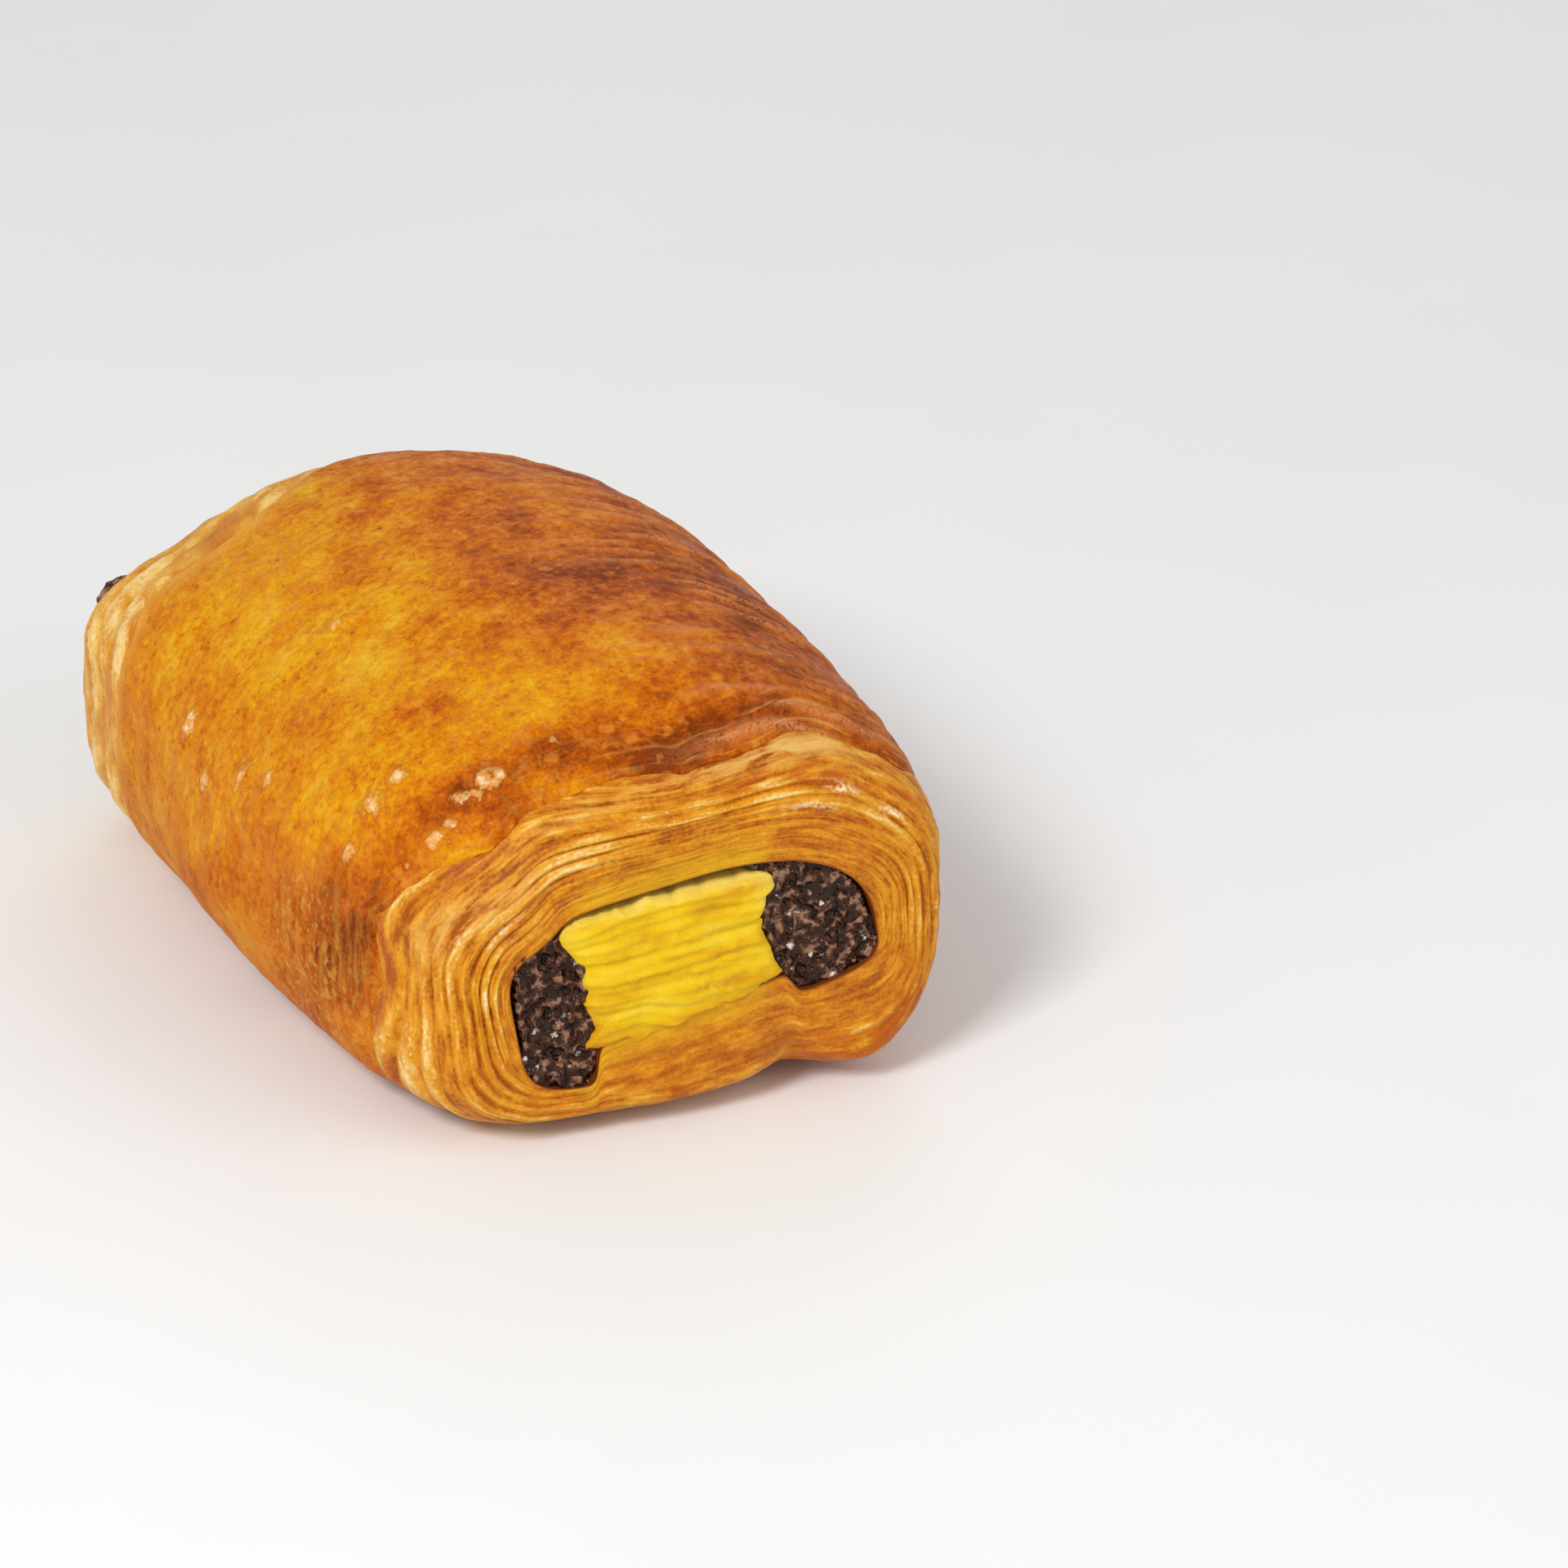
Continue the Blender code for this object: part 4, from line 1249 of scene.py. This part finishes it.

# %% [markdown]
# Custard bakes to a soft yellow with paler skin on its folds, and is orange-brown at its lower edge,
# where it meets the dough, with a painted highlight along its upper edge. Chocolate is nearly black,
# rough and full of tiny grains; it is lighter on the raised crags and darker in their hollows, which is
# painted light and shade, and a few grains carry painted glints.

# %% Finishes of the filling
CUSTARD_COLOURS = (
    (0.52, shade(206, 144, 10)),
    (0.66, shade(220, 173, 8)),
    (0.78, shade(228, 188, 14)),
    (0.95, shade(233, 197, 44)),
)
# From painted shade in the hollows to painted light and glints on the crags
CHOCOLATE_COLOURS = (
    (0.41, shade(24, 8, 3)),
    (0.50, shade(50, 22, 13)),
    (0.57, shade(84, 47, 33)),
    (0.66, shade(150, 112, 88)),
)


def custard_finish():
    """Yellow paling on the folds, painted cream highlight on the upper edge, orange-brown on the lower."""
    material, tree, shader = new_finish(
        "custard", 0.45, Subsurface_Weight=0.15, Subsurface_Scale=0.003, Specular_IOR_Level=0.16
    )
    coarse, fine = mottle(tree, stretched(tree, 1, 1, 1), 260.0)
    level = noise(tree, stretched(tree, 110, 110, 600), 1.0, 3.0)
    tone = plus(tree, times(tree, coarse, 0.7), level, 0.8)
    edge, height = stored(tree, "edge"), stored(tree, "height")
    colour = lay_over(
        tree,
        ramp(tree, tone, CUSTARD_COLOURS),
        # Blotches, the lower edge, and a painted highlight along the upper edge
        (rise(tree, coarse, 0.55, 0.63), 0.4, (234, 202, 78)),
        (times(tree, rise(tree, edge, 0.70, 1.0), rise(tree, height, 0.45, 0.10)), 0.8, (214, 140, 14)),
        (times(tree, rise(tree, edge, 0.86, 1.0), rise(tree, height, 0.75, 0.95)), 0.6, (240, 208, 110)),
    )
    tree.links.new(colour, shader.inputs["Base Color"])
    raise_by(tree, shader, plus(tree, times(tree, fine, 0.3), level, 1.0), 0.45, 0.0005)
    return material


def chocolate_finish():
    """Nearly black, with lighter crags and darker hollows, and a few painted glints from cells of a Voronoi.
    """
    material, tree, shader = new_finish(
        "chocolate", 0.4, Specular_IOR_Level=0.45, Specular_Tint=(1.0, 0.70, 0.54, 1.0)
    )
    place = stretched(tree, 1, 1, 1)
    coarse, fine = mottle(tree, place, 330.0)
    grain = noise(tree, place, 1500.0, 2.0)
    crag = noise(tree, place, 760.0, 2.0)
    # The tone follows the bump's crag and grain noise: painted light on the crags, painted shade in the
    # hollows
    tone = plus(tree, plus(tree, -0.250, crag, 1.15), grain, 0.35)
    away, lit = cells(tree, place, 760.0)
    near = rise(tree, plus(tree, away, grain, 1.1), 0.82, 0.68)
    # Painted glints: white grains in a few cells
    painted_glint = times(tree, rise(tree, lit, 0.70, 0.78), near)
    painted_glint = times(tree, painted_glint, rise(tree, coarse, 0.46, 0.53))
    colour = lay_over(tree, ramp(tree, tone, CHOCOLATE_COLOURS), (painted_glint, 0.9, (236, 220, 206)))
    tree.links.new(colour, shader.inputs["Base Color"])
    tree.links.new(plus(tree, 0.06, fine, 0.5), shader.inputs["Roughness"])
    raise_by(tree, shader, plus(tree, times(tree, grain, 0.7), crag, 1.6), 0.9, 0.0009)
    return material


custard.data.materials.append(custard_finish())
chocolate = chocolate_finish()
for piece in (left_stick, right_stick, crumb):
    piece.data.materials.append(chocolate)
print("filling finished")

# %% [markdown]
# The setting is a plain pale floor under soft light: the strongest lamp above the camera's left shoulder, a
# larger and weaker one at its right, one from behind to draw the roll's upper edge, and an even pale sky.

# %% Floor and light
FLOOR_SIZE = 3.0
FLOOR_DROP = 0.0001
FLOOR_COLOURS = ((0.3, shade(236, 236, 235)), (0.7, shade(241, 241, 240)))
SKY_STRENGTH = 0.5


def make_floor():
    """A wide square just below the roll, nearly white and hardly mottled."""
    half = FLOOR_SIZE / 2
    mesh = bpy.data.meshes.new("floor")
    corners = [(x, y, -FLOOR_DROP) for x, y in ((-half, -half), (half, -half), (half, half), (-half, half))]
    mesh.from_pydata(corners, [], [(0, 1, 2, 3)])
    surface = bpy.data.objects.new("floor", mesh)
    bpy.context.scene.collection.objects.link(surface)
    material, tree, shader = new_finish("pale_floor", 0.7)
    coarse, _ = mottle(tree, stretched(tree, 1, 1, 1), 3.0)
    tree.links.new(ramp(tree, coarse, FLOOR_COLOURS), shader.inputs["Base Color"])
    mesh.materials.append(material)
    return surface


def make_lamp(name, offset, size, watts):
    """A square area lamp turned to the roll, at an offset in the camera's right, up and back."""
    data = bpy.data.lights.new(name, "AREA")
    data.size = size
    data.energy = watts
    lamp = bpy.data.objects.new(name, data)
    place = AIM_POINT + CAMERA_RIGHT * offset[0] + CAMERA_UP * offset[1] + CAMERA_BACK * offset[2]
    lamp.location = place
    lamp.rotation_euler = (place - AIM_POINT).to_track_quat("Z", "Y").to_euler()
    bpy.context.scene.collection.objects.link(lamp)


make_floor()
make_lamp("key", (-0.35, 0.32, 0.88), 0.30, 6.2)
make_lamp("fill", (0.8, 0.25, 0.5), 0.6, 1.8)
make_lamp("rim", (0.1, 0.9, -0.5), 0.5, 1.0)

world = bpy.data.worlds.new("sky")
world.use_nodes = True
world.node_tree.nodes["Background"].inputs["Color"].default_value = (1.0, 1.0, 1.0, 1.0)
world.node_tree.nodes["Background"].inputs["Strength"].default_value = SKY_STRENGTH
bpy.context.scene.world = world
bpy.context.scene.view_settings.view_transform = "Standard"
